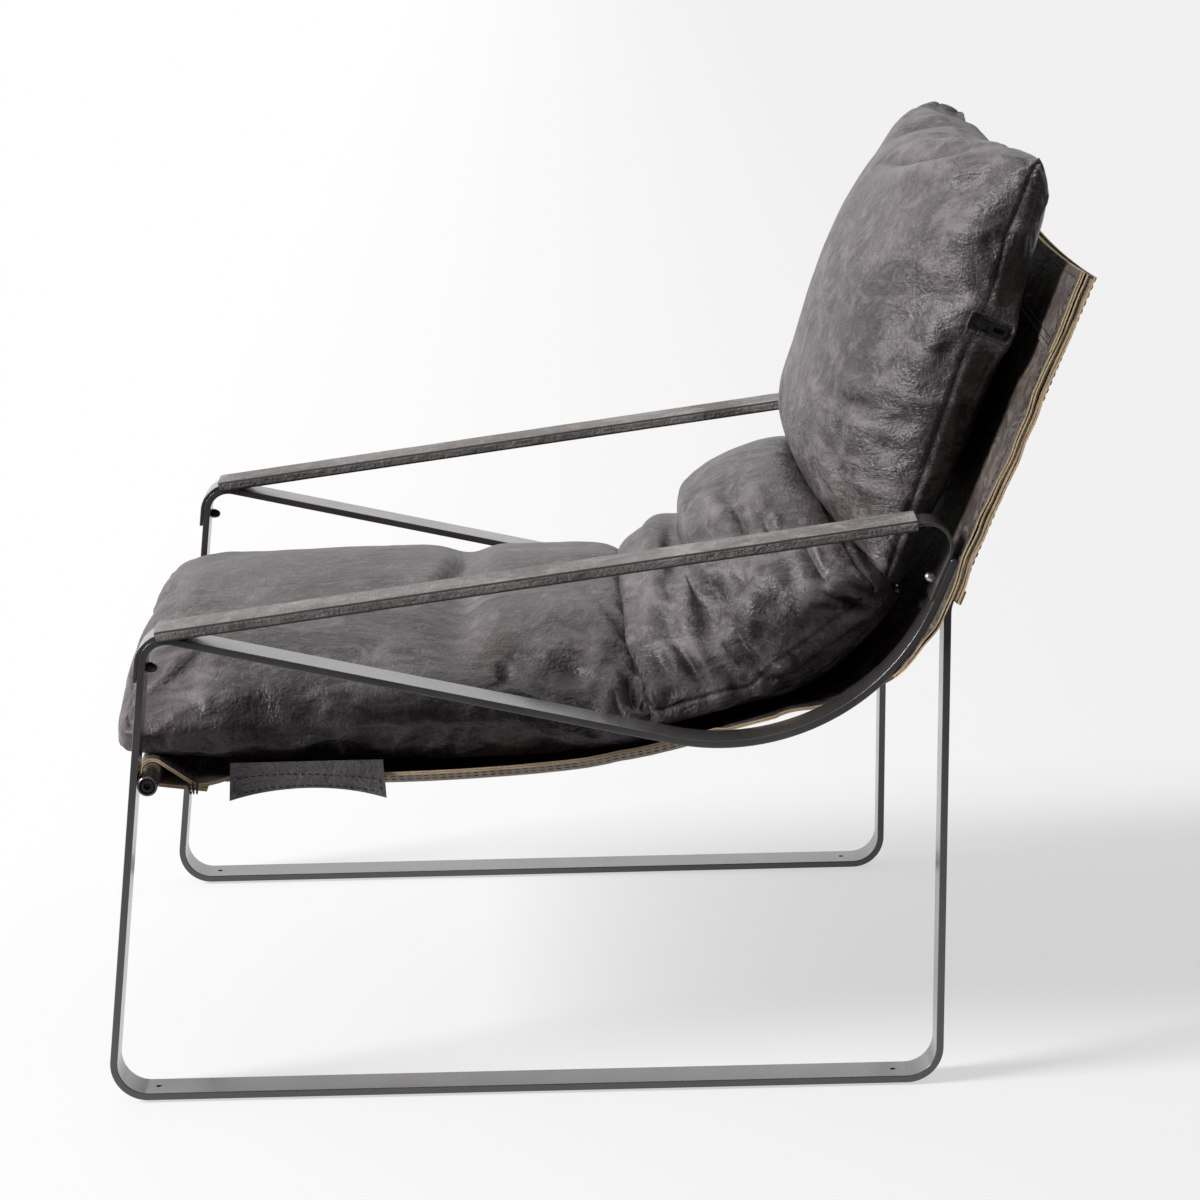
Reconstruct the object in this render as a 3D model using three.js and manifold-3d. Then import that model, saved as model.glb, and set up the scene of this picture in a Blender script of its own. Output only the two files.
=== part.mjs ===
// A sling lounge chair: two side frames bent from flat bar carry a leather sling, which wraps a
// front tube and sleeves the two back uprights. Three loose leather cushions lie on the sling,
// and a bent strip in a leather sleeve makes each arm.
// Lengths are millimetres: x runs across the chair, y from the front to the back, z up.

import * as THREE from "three";
import { mergeVertices } from "three/addons/utils/BufferGeometryUtils.js";
import Module from "manifold-3d";

const wasm = await Module();
wasm.setup();

const degree = Math.PI / 180;

// Clearances, and how finely round stretches are stepped
const seatGap = 0.3; // between two pieces that touch
const boreGap = 0.35; // round a shank in its hole
const overrun = 4; // how far a cutter passes the face that it cuts
const arcStep = 10 * degree;
const wideArcStep = 4 * degree; // on the rail's long curve
const loopStep = 18 * degree; // of the leather round the front tube
const roundSides = 24;
const smallRoundSides = 16;
const hexSides = 6;

// Side frames, bent from one flat bar each
const chairWidth = 690; // over the outer edges of the two frames
const barWidth = 38;
const barThickness = 6.35;
const barEdge = 0.8; // chamfer along the bar's edges
const baseDepth = 727; // from the front leg's outer face to the rear leg's, at the floor
const cornerHeight = 418; // where the lines of the front leg and the rail would meet
const legLean = 6.5 * degree; // the front leg leans back
const rearLegLean = 1.1 * degree;
const railFall = 12.8 * degree; // the rail falls towards the back
const backLean = 23 * degree; // the uprights lean back
const footRadius = 29; // to the bar's middle
const topRadius = 21.8;
const valleyRadius = 198.2; // the rail's long curve under the sitter
const uprightBendRadius = 30;
const valleyEndRise = 0.7; // the rail's curve ends this far up the back from the upright's bend
const uprightLength = 296;
const boltAboveBend = 15; // the rear bolt, up the upright from its bend
const railPastBolt = 22;
const frontBoltDrop = 6.5; // the front bolt, below the start of the top bend

// Crossbar between the uprights, hidden in the sling's sleeve
const crossbarHeight = 38;
const crossbarDrop = 12; // below the uprights' ends

// Front tube, on a boss behind each front leg
const tubeDiameter = 17.5;
const tubeWall = 2;
const tubeBelowCorner = 135.5; // its height below the corner of leg and rail
const insertLength = 26;
const tubeShank = 8; // screw through the boss into the tube's insert
const tubeScrewHead = 12.6;
const tubeScrewHeadHeight = 7;
const headRecess = 8.2;
const headRecessDiameter = 14;
const screwGrip = 20; // of the shank in the insert
const socketAcross = 6;
const socketDepth = 4;

// Arms: a bent strip, bolted to the leg and to the rail, in a leather sleeve
const armStrip = 3;
const armRearReach = 61.4; // from the rear bolt up to where the arm's lines meet
const armRearRadius = 20.5;
const armFrontTail = 10; // past its bolt
const armRearTail = 15;
const sleeveLeather = 1.8;
const sleeveFrontLap = 5; // how far the sleeve runs round the front bend
const sleeveRearStop = 6; // short of the rear bend

// Bolts of the arms: countersunk, with a domed nut
const boltShank = 6;
const boltHead = 12;
const boltHeadDepth = 3;
const nutAcross = 10;
const nutHeight = 5;
const nutDome = 4.6; // radius of the dome
const nutBore = 7.5; // depth of its blind hole

// Glides under the base bars, with a stem in a hole
const glideHeight = 2.3;
const glideDiameter = 16;
const glideStem = 4.2;
const glideStemHeight = 4;
const glideHole = 5;
const frontGlideInset = 43.3; // from the front leg's foot
const rearGlideInset = 42.2; // from the rear leg's foot

// Sling: a top ply and a lining, looped round the tube and stitched behind it
const ply = 1.4;
const slingSideGap = 9; // from the seat's free edges to the side frames
const slingBackLap = 4; // how far its back reaches past the side frames
const stitchBehindTube = 36.5; // where the loop's plies are stitched together
const stitchBelowTube = 12.9;
const loopTail = 10; // of the loop's end, past the stitching
const slingValleyStart = 14 * degree; // where the sling meets the rail's curve
const slingFlatRun = 142; // straight run in front of that
const slingFlatRadius = 400;
const slingPastUpright = 9; // the leather stands above the uprights
const edgeCurl = 9; // the free side edges curl up
const edgeCurlWidth = 30;
const topSag = 10; // the top edge hangs lower in the middle
const topSagRun = 70;
const widenStart = 31 * degree; // along the rail's curve the sling widens under the rail
const widenEnd = 50 * degree;
const bandHeight = 72; // reinforcing band along the front of the top edge
const backPly = 1.7; // panel behind the uprights
const backPanelFoot = 6.5; // above the uprights' bend
const hemHeight = 12;
const sheetColumns = 8;
const sheetStep = 45; // between rows on straight runs of a sheet

// Seat cushion: a boxed pad with a crown
const seatOverhang = 33; // past the middle of the front tube
const seatAheadOfValley = 64; // its rear end, ahead of the centre of the rail's curve
const seatSideGap = 5; // to the side frames
const seatLeanShare = 0.15; // both ends lean in as the cushion rises
const seatSideRise = 18; // of its lower side edges
const seatFrontRise = 26;
const seatBorder = 60; // height of its side walls
const seatCrown = 48;
const seatDip = 9; // shallow crease across the top
const seatDipFromRear = 162;
const seatDipRun = 26;
const seatDrawIn = 6; // its side walls pull in between their seams

// Lumbar cushion: a thick roll that fills the bend of the sling
const lumbarTurn = 38 * degree; // where on the rail's curve it sits
const lumbarFront = 181;
const lumbarRear = 70;
const lumbarFrontLean = 58; // how far its ends lean in over the cushion's full height
const lumbarRearLean = 26;
const lumbarSideGap = 7;
const lumbarBorder = 57;
const lumbarCrown = 121;
const lumbarSideRise = 12;
const lumbarFold = 17;
const lumbarFoldAt = -73;
const lumbarFoldRun = 13;
const lumbarDrawIn = 7;

// Back cushion: a boxed pillow with a zip in its near side wall
const pillowLow = 100; // its lower edge, down the back from the pillow's level
const pillowLength = 372;
const pillowLevel = 60; // of the rear bolt above which its length is counted
const pillowSlopeShare = 0.35;
const pillowSideGap = 21;
const pillowSideRise = 27;
const pillowBorder = 33;
const pillowCrown = 106;
const pillowEar = 24; // its top corners stand above the middle
const pillowEarRise = 10; // and forward of it
const pillowTopRise = 9; // its upper edge stands off the sling
const pillowTopRun = 110;
const pillowTopLeanShare = 0.9; // its top wall leans up and out of the back
const pillowDrawIn = 6;

// Cushion lattice
const latticeAcross = 16;
const latticeAlong = 18;
const latticeDeep = 2;

// Leather tab on each side of the seat cushion
const tabLeather = 1.8;
const tabFront = 100; // behind the seat cushion's front
const tabLength = 134;
const tabDrop = 32;
const tabTuck = 1.8; // its upper edge, below the cushion's seam
const tabHollow = 7; // its lower edge arches up
const tabSteps = 10;

// Zip on the back cushion's near side
const zipUp = 152; // up the back from the pillow's level
const tapeWidth = 11;
const tapeThickness = 0.8;
const chainWidth = 4;
const chainHeight = 1.2;
const sliderLength = 9;
const sliderWidth = 7.5;
const sliderPlate = 1.2;
const sliderTaper = 2; // each side, at its nose
const sliderInset = 4; // from the cushion's front seam to the slider
const bridgeLength = 7;
const bridgeHeight = 3;
const bridgeWidth = 2.4;
const bridgeLeg = 1.4;
const bridgeBar = 1.1; // thickness of its top
const pullLength = 23;
const pullWidth = 9.5;
const pullThickness = 1.2;
const pullArm = 1.4; // width of the metal beside its eye
const pullWindow = 4.6;
const pullWindowLength = 10;

// Small helpers for points in the side view, where Vector2 is (y, z)
const at = (y, z) => new THREE.Vector2(y, z);
const heading = (angle) => at(Math.cos(angle), Math.sin(angle));
const leftOf = (d) => at(-d.y, d.x);
const along = (from, d, length) => from.clone().addScaledVector(d, length);

// Where the line through p along d meets the line through q along e
function meet(p, d, q, e) {
  const gap = q.clone().sub(p);
  return along(p, d, gap.cross(e) / d.cross(e));
}

// A path of straight runs with rounded corners, as stations with their point, the unit vector to
// the left and the run so far. A corner is { at, radius, step }.
function roundedPath(corners) {
  const path = [];
  const add = (point, left) => {
    const last = path[path.length - 1];
    const run = last ? last.run + last.at.distanceTo(point) : 0;
    path.push({ at: point, left, run });
  };
  corners.forEach((corner, i) => {
    const before = corners[i - 1];
    const after = corners[i + 1];
    const inward = before && corner.at.clone().sub(before.at).normalize();
    const outward = after && after.at.clone().sub(corner.at).normalize();
    if (!before || !after) {
      add(corner.at.clone(), leftOf(outward || inward));
      return;
    }
    const turn = Math.atan2(inward.cross(outward), inward.dot(outward));
    const reach = corner.radius * Math.tan(Math.abs(turn) / 2);
    const start = along(corner.at, inward, -reach);
    const centre = along(start, leftOf(inward), Math.sign(turn) * corner.radius);
    const steps = Math.ceil(Math.abs(turn) / (corner.step || arcStep));
    for (let k = 0; k <= steps; k++) {
      const angle = (turn * k) / steps;
      const point = start.clone().rotateAround(centre, angle);
      add(point, leftOf(inward).rotateAround(at(0, 0), angle));
    }
  });
  return path;
}

// The bend centre of a corner between two lines, for pieces that run concentric with it
function bendCentre(before, corner, after, radius) {
  const inward = corner.clone().sub(before).normalize();
  const outward = after.clone().sub(corner).normalize();
  const turn = Math.atan2(inward.cross(outward), inward.dot(outward));
  const start = along(corner, inward, -radius * Math.tan(Math.abs(turn) / 2));
  return along(start, leftOf(inward), Math.sign(turn) * radius);
}

// The same path with stations added, so that no straight run is longer than the step
function divided(path, step) {
  const finer = [];
  path.forEach((station, i) => {
    finer.push(station);
    const next = path[i + 1];
    if (!next) return;
    const count = Math.ceil((next.run - station.run) / step);
    for (let k = 1; k < count; k++) {
      finer.push({
        at: station.at.clone().lerp(next.at, k / count),
        left: station.left.clone().lerp(next.left, k / count).normalize(),
        run: station.run + ((next.run - station.run) * k) / count,
      });
    }
  });
  return finer;
}

// The station at a run along a path
function stationAt(path, run) {
  const i = Math.max(1, path.findIndex((station) => station.run >= run));
  const before = path[i - 1];
  const after = path[i];
  const share = (run - before.run) / (after.run - before.run);
  return {
    at: before.at.clone().lerp(after.at, share),
    left: before.left.clone().lerp(after.left, share).normalize(),
    run,
  };
}

// The stretch of a path between two runs
function stretch(path, from, to) {
  const inside = path.filter((station) => station.run > from && station.run < to);
  return [stationAt(path, from), ...inside, stationAt(path, to)];
}

// The outline of a strip that covers the offsets low to high to a path's left
function stripOutline(path, low, high) {
  const forth = path.map((station) => along(station.at, station.left, high));
  const back = path.map((station) => along(station.at, station.left, low));
  return [...forth, ...back.reverse()];
}

// A half-round end for a strip that starts at a station
function roundStart(station, low, high) {
  const radius = (high - low) / 2;
  const centre = along(station.at, station.left, (low + high) / 2);
  const rim = along(centre, station.left, -radius);
  const steps = Math.ceil(Math.PI / 2 / arcStep);
  const points = [];
  for (let k = 1; k < steps; k++) {
    points.push(rim.clone().rotateAround(centre, (-Math.PI * k) / steps));
  }
  return points;
}

// A side-view outline extruded across the chair, centred on x = 0, with chamfered edges
function extrudeAcross(points, width, edge = 0) {
  const geometry = new THREE.ExtrudeGeometry(new THREE.Shape(points), {
    depth: width - 2 * edge,
    bevelEnabled: edge > 0,
    bevelThickness: edge,
    bevelSize: edge,
    bevelOffset: -edge,
    bevelSegments: 1,
    steps: 1,
  });
  geometry.translate(0, 0, edge - width / 2);
  const turned = new THREE.Matrix4().makeBasis(
    new THREE.Vector3(0, 1, 0),
    new THREE.Vector3(0, 0, 1),
    new THREE.Vector3(1, 0, 0),
  );
  return geometry.applyMatrix4(turned);
}

// Solids for joining and cutting
function solidOf(geometry) {
  const plain = geometry.clone();
  plain.deleteAttribute("normal");
  plain.deleteAttribute("uv");
  const merged = mergeVertices(plain);
  return new wasm.Manifold(
    new wasm.Mesh({
      numProp: 3,
      vertProperties: merged.attributes.position.array,
      triVerts: new Uint32Array(merged.index.array),
    }),
  );
}

function geometryOf(solid) {
  const mesh = solid.getMesh();
  const geometry = new THREE.BufferGeometry();
  geometry.setAttribute("position", new THREE.BufferAttribute(mesh.vertProperties, 3));
  geometry.setIndex(new THREE.BufferAttribute(mesh.triVerts, 1));
  return geometry;
}

const cut = (geometry, ...cutters) =>
  geometryOf(cutters.reduce((solid, cutter) => solid.subtract(solidOf(cutter)), solidOf(geometry)));

const join = (geometry, ...others) =>
  geometryOf(others.reduce((solid, other) => solid.add(solidOf(other)), solidOf(geometry)));

// A revolved profile of [radius, height] pairs, whose heights run along a direction from a point
function turned(profile, from, direction, sides = roundSides) {
  const points = profile.map(([radius, height]) => new THREE.Vector2(radius, height));
  const geometry = new THREE.LatheGeometry(points, sides);
  const turn = new THREE.Quaternion().setFromUnitVectors(new THREE.Vector3(0, 1, 0), direction);
  geometry.applyQuaternion(turn);
  return geometry.translate(from.x, from.y, from.z);
}

const inSideView = (point) => new THREE.Vector3(0, point.x, point.y);

// A plain round cutter or pin between two heights on an axis
const pin = (radius, low, high) => [
  [0, low],
  [radius, low],
  [radius, high],
  [0, high],
];

// Lines of the side view. The frame's path runs along the middle of the bar.
const barHalf = barThickness / 2;
const legUp = heading(Math.PI / 2 - legLean);
const rearLegUp = heading(Math.PI / 2 - rearLegLean);
const railBack = heading(-railFall);
const backUp = heading(Math.PI / 2 - backLean);
const backOut = leftOf(backUp).negate(); // out of the back, away from the sitter

const legLine = along(at(0, 0), leftOf(legUp), -barHalf);
const rearLegLine = along(at(baseDepth, 0), leftOf(rearLegUp), barHalf);
const baseLine = at(0, barHalf);
const topCorner = meet(at(0, 0), legUp, at(0, cornerHeight), at(1, 0));
const railLine = along(topCorner, leftOf(railBack), -barHalf);

// The end of the rail's curve lies where the curve's centre can be both at its radius above the
// rail and ahead of the upright. The upright's bend follows from it.
const plies = 2 * ply + 3 * seatGap; // top ply, lining and their gaps, between rail and upright
const railToUpright = barThickness + plies;
const curveEndLine = along(along(railLine, leftOf(railBack), valleyRadius), backOut, valleyRadius);
const railEndLine = along(along(rearLegLine, backOut, -railToUpright), backUp, valleyEndRise);
const valleyEnd = meet(curveEndLine, railBack, railEndLine, rearLegUp);
const uprightBend = along(along(valleyEnd, backOut, railToUpright), backUp, -valleyEndRise);
const railBackLine = along(uprightBend, backOut, -railToUpright);
const railEnd = along(railBackLine, backUp, boltAboveBend + railPastBolt);
const valleyCorner = meet(railLine, railBack, railBackLine, backUp);
const topLineCorner = meet(legLine, legUp, railLine, railBack);
const frontFoot = meet(legLine, legUp, baseLine, at(1, 0));
const rearFoot = meet(rearLegLine, rearLegUp, baseLine, at(1, 0));
const uprightEnd = along(uprightBend, backUp, uprightLength);

const valleyCentre = bendCentre(topLineCorner, valleyCorner, railEnd, valleyRadius);
const topBendCentre = bendCentre(valleyCorner, topLineCorner, frontFoot, topRadius);

// Bolt axes. The front one crosses the leg, the rear one the strip, rail, sling and upright.
const legIn = leftOf(legUp).negate(); // towards the back, square to the leg
const frontBoltAt = along(along(topBendCentre, legIn, -topRadius), legUp, -frontBoltDrop);
const rearBoltAt = along(uprightBend, backUp, boltAboveBend);

// Half widths of what lies between the side frames
const sideX = (chairWidth - barWidth) / 2; // of the middle of each frame
const innerX = chairWidth / 2 - barWidth;
const slingSeatHalf = innerX - slingSideGap;
const slingBackHalf = chairWidth / 2 + slingBackLap;
const seatHalf = innerX - seatSideGap;
const lumbarHalf = innerX - lumbarSideGap;
const pillowHalf = innerX - pillowSideGap;

function sideFrame() {
  const path = roundedPath([
    { at: railEnd },
    { at: valleyCorner, radius: valleyRadius, step: wideArcStep },
    { at: topLineCorner, radius: topRadius },
    { at: frontFoot, radius: footRadius },
    { at: rearFoot, radius: footRadius },
    { at: uprightBend, radius: uprightBendRadius },
    { at: uprightEnd },
  ]);
  const outline = [
    ...stripOutline(path, -barHalf, barHalf),
    ...roundStart(path[0], -barHalf, barHalf),
  ];
  const bar = extrudeAcross(outline, barWidth, barEdge);
  const hole = (radius, point, direction) =>
    turned(
      pin(radius, -barThickness - overrun, barThickness + overrun),
      inSideView(point),
      inSideView(direction),
      smallRoundSides,
    );
  const boltHole = boltShank / 2 + boreGap;
  const countersink = turned(
    [
      [0, barHalf - boltHeadDepth],
      [boltHole, barHalf - boltHeadDepth],
      [boltHead / 2 + boreGap, barHalf],
      [boltHead / 2 + boreGap, barHalf + overrun],
      [0, barHalf + overrun],
    ],
    inSideView(rearBoltAt),
    inSideView(backOut),
    smallRoundSides,
  );
  const railBoltAt = along(rearBoltAt, backOut, -railToUpright);
  return cut(
    bar,
    hole(boltHole, frontBoltAt, legIn),
    hole(boltHole, railBoltAt, backOut),
    hole(boltHole, rearBoltAt, backOut),
    countersink,
    hole(glideHole / 2, at(frontGlideInset, barHalf), at(0, 1)),
    hole(glideHole / 2, at(baseDepth - rearGlideInset, barHalf), at(0, 1)),
  );
}

// Crossbar: a flat bar in the plane of the uprights, which it meets end to end
function backCrossbar() {
  const top = along(uprightEnd, backUp, -crossbarDrop);
  const foot = along(top, backUp, -crossbarHeight);
  const path = roundedPath([{ at: foot }, { at: top }]);
  return extrudeAcross(
    stripOutline(path, -barHalf, barHalf),
    2 * (innerX - seatGap),
    barEdge,
  );
}

// Front tube and what holds it
const tubeHalf = tubeDiameter / 2;
const tubeHeight = cornerHeight - tubeBelowCorner;
const legBackAtTube = meet(legLine, legUp, at(0, tubeHeight), at(1, 0));
const tubeAt = along(legBackAtTube, at(1, 0), (barHalf + seatGap + tubeHalf) / Math.cos(legLean));
const tubeReach = innerX - seatGap; // half the tube's length
const tubeBore = tubeDiameter / 2 - tubeWall;

const onTube = (x) => new THREE.Vector3(x, tubeAt.x, tubeAt.y);

// A ring profile, closed on itself
const ring = (inner, outer, low, high) => [
  [inner, low],
  [outer, low],
  [outer, high],
  [inner, high],
  [inner, low],
];

function frontTube() {
  const profile = ring(tubeBore, tubeHalf, -tubeReach, tubeReach);
  return turned(profile, onTube(0), new THREE.Vector3(1, 0, 0));
}

// The boss, insert and screw lie along the tube's axis, outwards on their own side
function tubeInsert(side) {
  const radius = tubeBore - seatGap;
  const bore = tubeShank / 2 + boreGap;
  const profile = ring(bore, radius, tubeReach - insertLength, tubeReach);
  return turned(profile, onTube(0), new THREE.Vector3(side, 0, 0), smallRoundSides);
}

function tubeBoss(side) {
  const inner = innerX;
  const outer = chairWidth / 2;
  const bore = tubeShank / 2 + boreGap;
  const recess = headRecessDiameter / 2;
  const profile = [
    [bore, inner],
    [tubeHalf - barEdge, inner],
    [tubeHalf, inner + barEdge],
    [tubeHalf, outer - barEdge],
    [tubeHalf - barEdge, outer],
    [recess, outer],
    [recess, outer - headRecess],
    [bore, outer - headRecess],
    [bore, inner],
  ];
  return turned(profile, onTube(0), new THREE.Vector3(side, 0, 0));
}

function tubeScrew(side) {
  const seat = chairWidth / 2 - headRecess + seatGap;
  const top = seat + tubeScrewHeadHeight;
  const head = tubeScrewHead / 2;
  const profile = [
    [0, tubeReach - screwGrip],
    [tubeShank / 2 - barEdge, tubeReach - screwGrip],
    [tubeShank / 2, tubeReach - screwGrip + barEdge],
    [tubeShank / 2, seat],
    [head, seat],
    [head, top - barEdge],
    [head - barEdge, top],
    [0, top],
  ];
  const axis = new THREE.Vector3(side, 0, 0);
  const screw = turned(profile, onTube(0), axis, smallRoundSides);
  const socketRadius = socketAcross / 2 / Math.cos(Math.PI / hexSides);
  const socket = turned(
    pin(socketRadius, top - socketDepth, top + overrun),
    onTube(0),
    axis,
    hexSides,
  );
  return cut(screw, socket);
}

// Arm strip: from the front leg's outer face, round the frame's top bend, back and down to the rail
const stripHalf = armStrip / 2;
const stripFrontRadius = topRadius + barHalf + seatGap + stripHalf;
const frontTailLine = along(frontBoltAt, legIn, -(barHalf + seatGap + stripHalf));
const rearTailLine = along(
  rearBoltAt,
  backOut,
  -(railToUpright + barHalf + seatGap + stripHalf),
);
const armRearCorner = along(rearTailLine, backUp, armRearReach);
const armGap = armRearCorner.clone().sub(topBendCentre);
const armBack = heading(armGap.angle() - Math.asin(stripFrontRadius / armGap.length()));
const armLine = along(topBendCentre, leftOf(armBack), stripFrontRadius);
const armPath = roundedPath([
  { at: along(frontTailLine, legUp, -armFrontTail) },
  { at: meet(frontTailLine, legUp, armLine, armBack), radius: stripFrontRadius },
  { at: armRearCorner, radius: armRearRadius },
  { at: along(rearTailLine, backUp, -armRearTail) },
]);

// The bolts' outer ends, where their heads or nuts sit
const frontHeadAt = along(frontTailLine, legIn, -stripHalf);
const rearHeadAt = along(rearBoltAt, backOut, barHalf);

function armStripPiece() {
  const strip = extrudeAcross(stripOutline(armPath, -stripHalf, stripHalf), barWidth);
  const shank = boltShank / 2 + boreGap;
  const countersink = turned(
    [
      [0, -overrun],
      [boltHead / 2 + boreGap, -overrun],
      [boltHead / 2 + boreGap, 0],
      [shank, boltHeadDepth],
      [shank, boltHeadDepth + overrun],
      [0, boltHeadDepth + overrun],
    ],
    inSideView(frontHeadAt),
    inSideView(legIn),
    smallRoundSides,
  );
  const rearHole = turned(
    pin(shank, -overrun, overrun),
    inSideView(rearTailLine),
    inSideView(backOut),
    smallRoundSides,
  );
  return cut(strip, countersink, rearHole);
}

// Runs along the arm's path where its bends end and begin
function armStraight() {
  const level = armPath.filter((station) => station.left.distanceTo(leftOf(armBack)) < 1e-6);
  return [level[0].run, level[level.length - 1].run];
}

// Leather sleeve: a flat tube round the strip, open at both ends and cut clear of the frame's bend
function armSleeve() {
  const [first, last] = armStraight();
  const stretchOut = (more) =>
    stretch(armPath, first - sleeveFrontLap - more, last - sleeveRearStop + more);
  const inner = stripHalf + seatGap;
  const outer = inner + sleeveLeather;
  const cover = extrudeAcross(
    stripOutline(stretchOut(0), -outer, outer),
    barWidth + 2 * (seatGap + sleeveLeather),
  );
  const hollow = extrudeAcross(
    stripOutline(stretchOut(overrun), -inner, inner),
    barWidth + 2 * seatGap,
  );
  const bend = turned(
    pin(topRadius + barHalf + seatGap, -barWidth, barWidth),
    inSideView(topBendCentre),
    new THREE.Vector3(1, 0, 0),
  );
  const railTop = along(railLine, leftOf(railBack), barHalf + seatGap);
  const railStart = along(railTop, railBack, 0);
  const wedge = extrudeAcross(
    [
      along(topBendCentre, leftOf(railBack), topRadius + barHalf + seatGap),
      topBendCentre,
      along(railStart, railBack, baseDepth / 2).sub(at(0, barThickness)),
      along(railStart, railBack, baseDepth / 2),
    ],
    2 * barWidth,
  );
  return cut(cover, hollow, bend, wedge);
}

// A countersunk bolt whose head's face is at a point, and which runs along a direction
function bolt(face, direction, length) {
  const shank = boltShank / 2;
  const profile = [
    [0, 0],
    [boltHead / 2, 0],
    [boltHead / 2, seatGap],
    [shank, boltHeadDepth],
    [shank, length - seatGap],
    [shank - seatGap, length],
    [0, length],
  ];
  return turned(profile, inSideView(face), inSideView(direction), smallRoundSides);
}

// A domed hexagon nut that stands on a face, with a blind hole for the bolt
function domedNut(face, direction) {
  const corner = nutAcross / 2 / Math.cos(Math.PI / hexSides);
  const place = [inSideView(face), inSideView(direction)];
  const hexagon = turned(pin(corner, 0, nutHeight), ...place, hexSides);
  const domeProfile = [[0, 0], [nutDome, 0], [nutDome, nutHeight]];
  const steps = Math.ceil(Math.PI / 2 / arcStep / 2);
  for (let k = 1; k < steps; k++) {
    const angle = (Math.PI / 2 / steps) * k;
    domeProfile.push([nutDome * Math.cos(angle), nutHeight + nutDome * Math.sin(angle)]);
  }
  domeProfile.push([0, nutHeight + nutDome]);
  const dome = turned(domeProfile, ...place, smallRoundSides);
  const hole = turned(pin(boltShank / 2 + boreGap, -overrun, nutBore), ...place, smallRoundSides);
  return cut(join(hexagon, dome), hole);
}

const frontNutFace = along(frontBoltAt, legIn, barHalf + seatGap);
const rearNutFace = along(rearTailLine, backOut, -(stripHalf + seatGap));
const boltInNut = nutBore - 2 * seatGap;

function glide(y) {
  const low = -glideHeight;
  const top = -seatGap;
  const rim = (top - low) / 4;
  const profile = [
    [0, low],
    [glideDiameter / 2 - rim, low],
    [glideDiameter / 2, low + rim],
    [glideDiameter / 2, top],
    [glideStem / 2, top],
    [glideStem / 2, glideStemHeight],
    [0, glideStemHeight],
  ];
  return turned(profile, new THREE.Vector3(0, y, 0), new THREE.Vector3(0, 0, 1), smallRoundSides);
}

// The sling's own path lies between its top ply, on the left, and its lining. It starts at the
// loop's tail under the seat, goes forward round the tube and back along the seat, then up.
const slingHalfGap = seatGap / 2;
const loopRadius = tubeHalf + seatGap + ply + slingHalfGap;
const slingBackLine = along(uprightBend, backOut, -(barHalf + seatGap + ply + slingHalfGap));
const slingValleyRadius = valleyRadius + barHalf + seatGap + ply + slingHalfGap;
const slingTop = along(slingBackLine, backUp, uprightLength + slingPastUpright);
const stitchPoint = tubeAt.clone().add(at(stitchBehindTube, -stitchBelowTube));

// The corner between two tangents to the rail's curve, at two turns from its lowest point
function tangentCorner(radius, first, second) {
  const middle = (first + second) / 2;
  const reach = radius / Math.cos((second - first) / 2);
  return along(valleyCentre, heading(middle - Math.PI / 2), reach);
}

// The corners of a loop that hugs the tube between two points behind it
function loopCorners(low, high) {
  const touch = (point, side) => {
    const gap = point.clone().sub(tubeAt);
    const spread = Math.acos(loopRadius / gap.length());
    return along(tubeAt, heading(gap.angle() + side * spread), loopRadius);
  };
  const bottom = touch(low, -1);
  const top = touch(high, 1);
  const front = along(tubeAt, at(-1, 0), loopRadius);
  const down = bottom.clone().sub(low).normalize();
  const up = high.clone().sub(top).normalize();
  return [
    { at: low },
    { at: meet(bottom, down, front, at(0, 1)), radius: loopRadius, step: loopStep },
    { at: meet(front, at(0, 1), top, up), radius: loopRadius, step: loopStep },
  ];
}

const slingTailStart = along(stitchPoint, at(1, 0), loopTail).sub(at(0, plies));
const slingValleyEnd = Math.PI / 2 - backLean;
const flatTouch = along(
  valleyCentre,
  heading(slingValleyStart - Math.PI / 2),
  slingValleyRadius,
);
const flatStart = along(flatTouch, heading(slingValleyStart), -slingFlatRun);
const slingPath = divided(
  roundedPath([
    ...loopCorners(slingTailStart, stitchPoint),
    { at: stitchPoint, radius: loopRadius, step: loopStep },
    { at: flatStart, radius: slingFlatRadius },
    {
      at: tangentCorner(slingValleyRadius, slingValleyStart, slingValleyEnd),
      radius: slingValleyRadius,
      step: wideArcStep,
    },
    { at: slingTop },
  ]),
  sheetStep,
);
const slingRun = slingPath[slingPath.length - 1].run;

// Shares from 0 to 1 between two values, eased at both ends
function eased(value, from, to) {
  const share = Math.min(1, Math.max(0, (value - from) / (to - from)));
  return share * share * (3 - 2 * share);
}

// The turn of a station from the lowest point of the rail's curve, 0 in front of it
const turnAt = (station) =>
  station.at.x > valleyCentre.x ? Math.atan2(-station.left.x, station.left.y) : 0;

const slingHalf = (station) =>
  slingSeatHalf +
  (slingBackHalf - slingSeatHalf) * eased(turnAt(station), widenStart, widenEnd);

// The free edges of the seat curl up, from the stitching to where the sling widens
function slingCurl(station, u) {
  const inSeat = eased(station.at.x, stitchPoint.x, stitchPoint.x + 2 * edgeCurlWidth);
  const along = station.run > loopRadius * 2 * Math.PI ? inSeat : 0;
  const fade = 1 - eased(turnAt(station), slingValleyStart / 2, widenStart);
  const edge = eased(Math.abs(u), 1 - edgeCurlWidth / slingSeatHalf, 1);
  return edgeCurl * along * fade * edge;
}

const topEdgeSag = (fromTop, u) => topSag * (1 - u * u) * eased(topSagRun - fromTop, 0, topSagRun);

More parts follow.
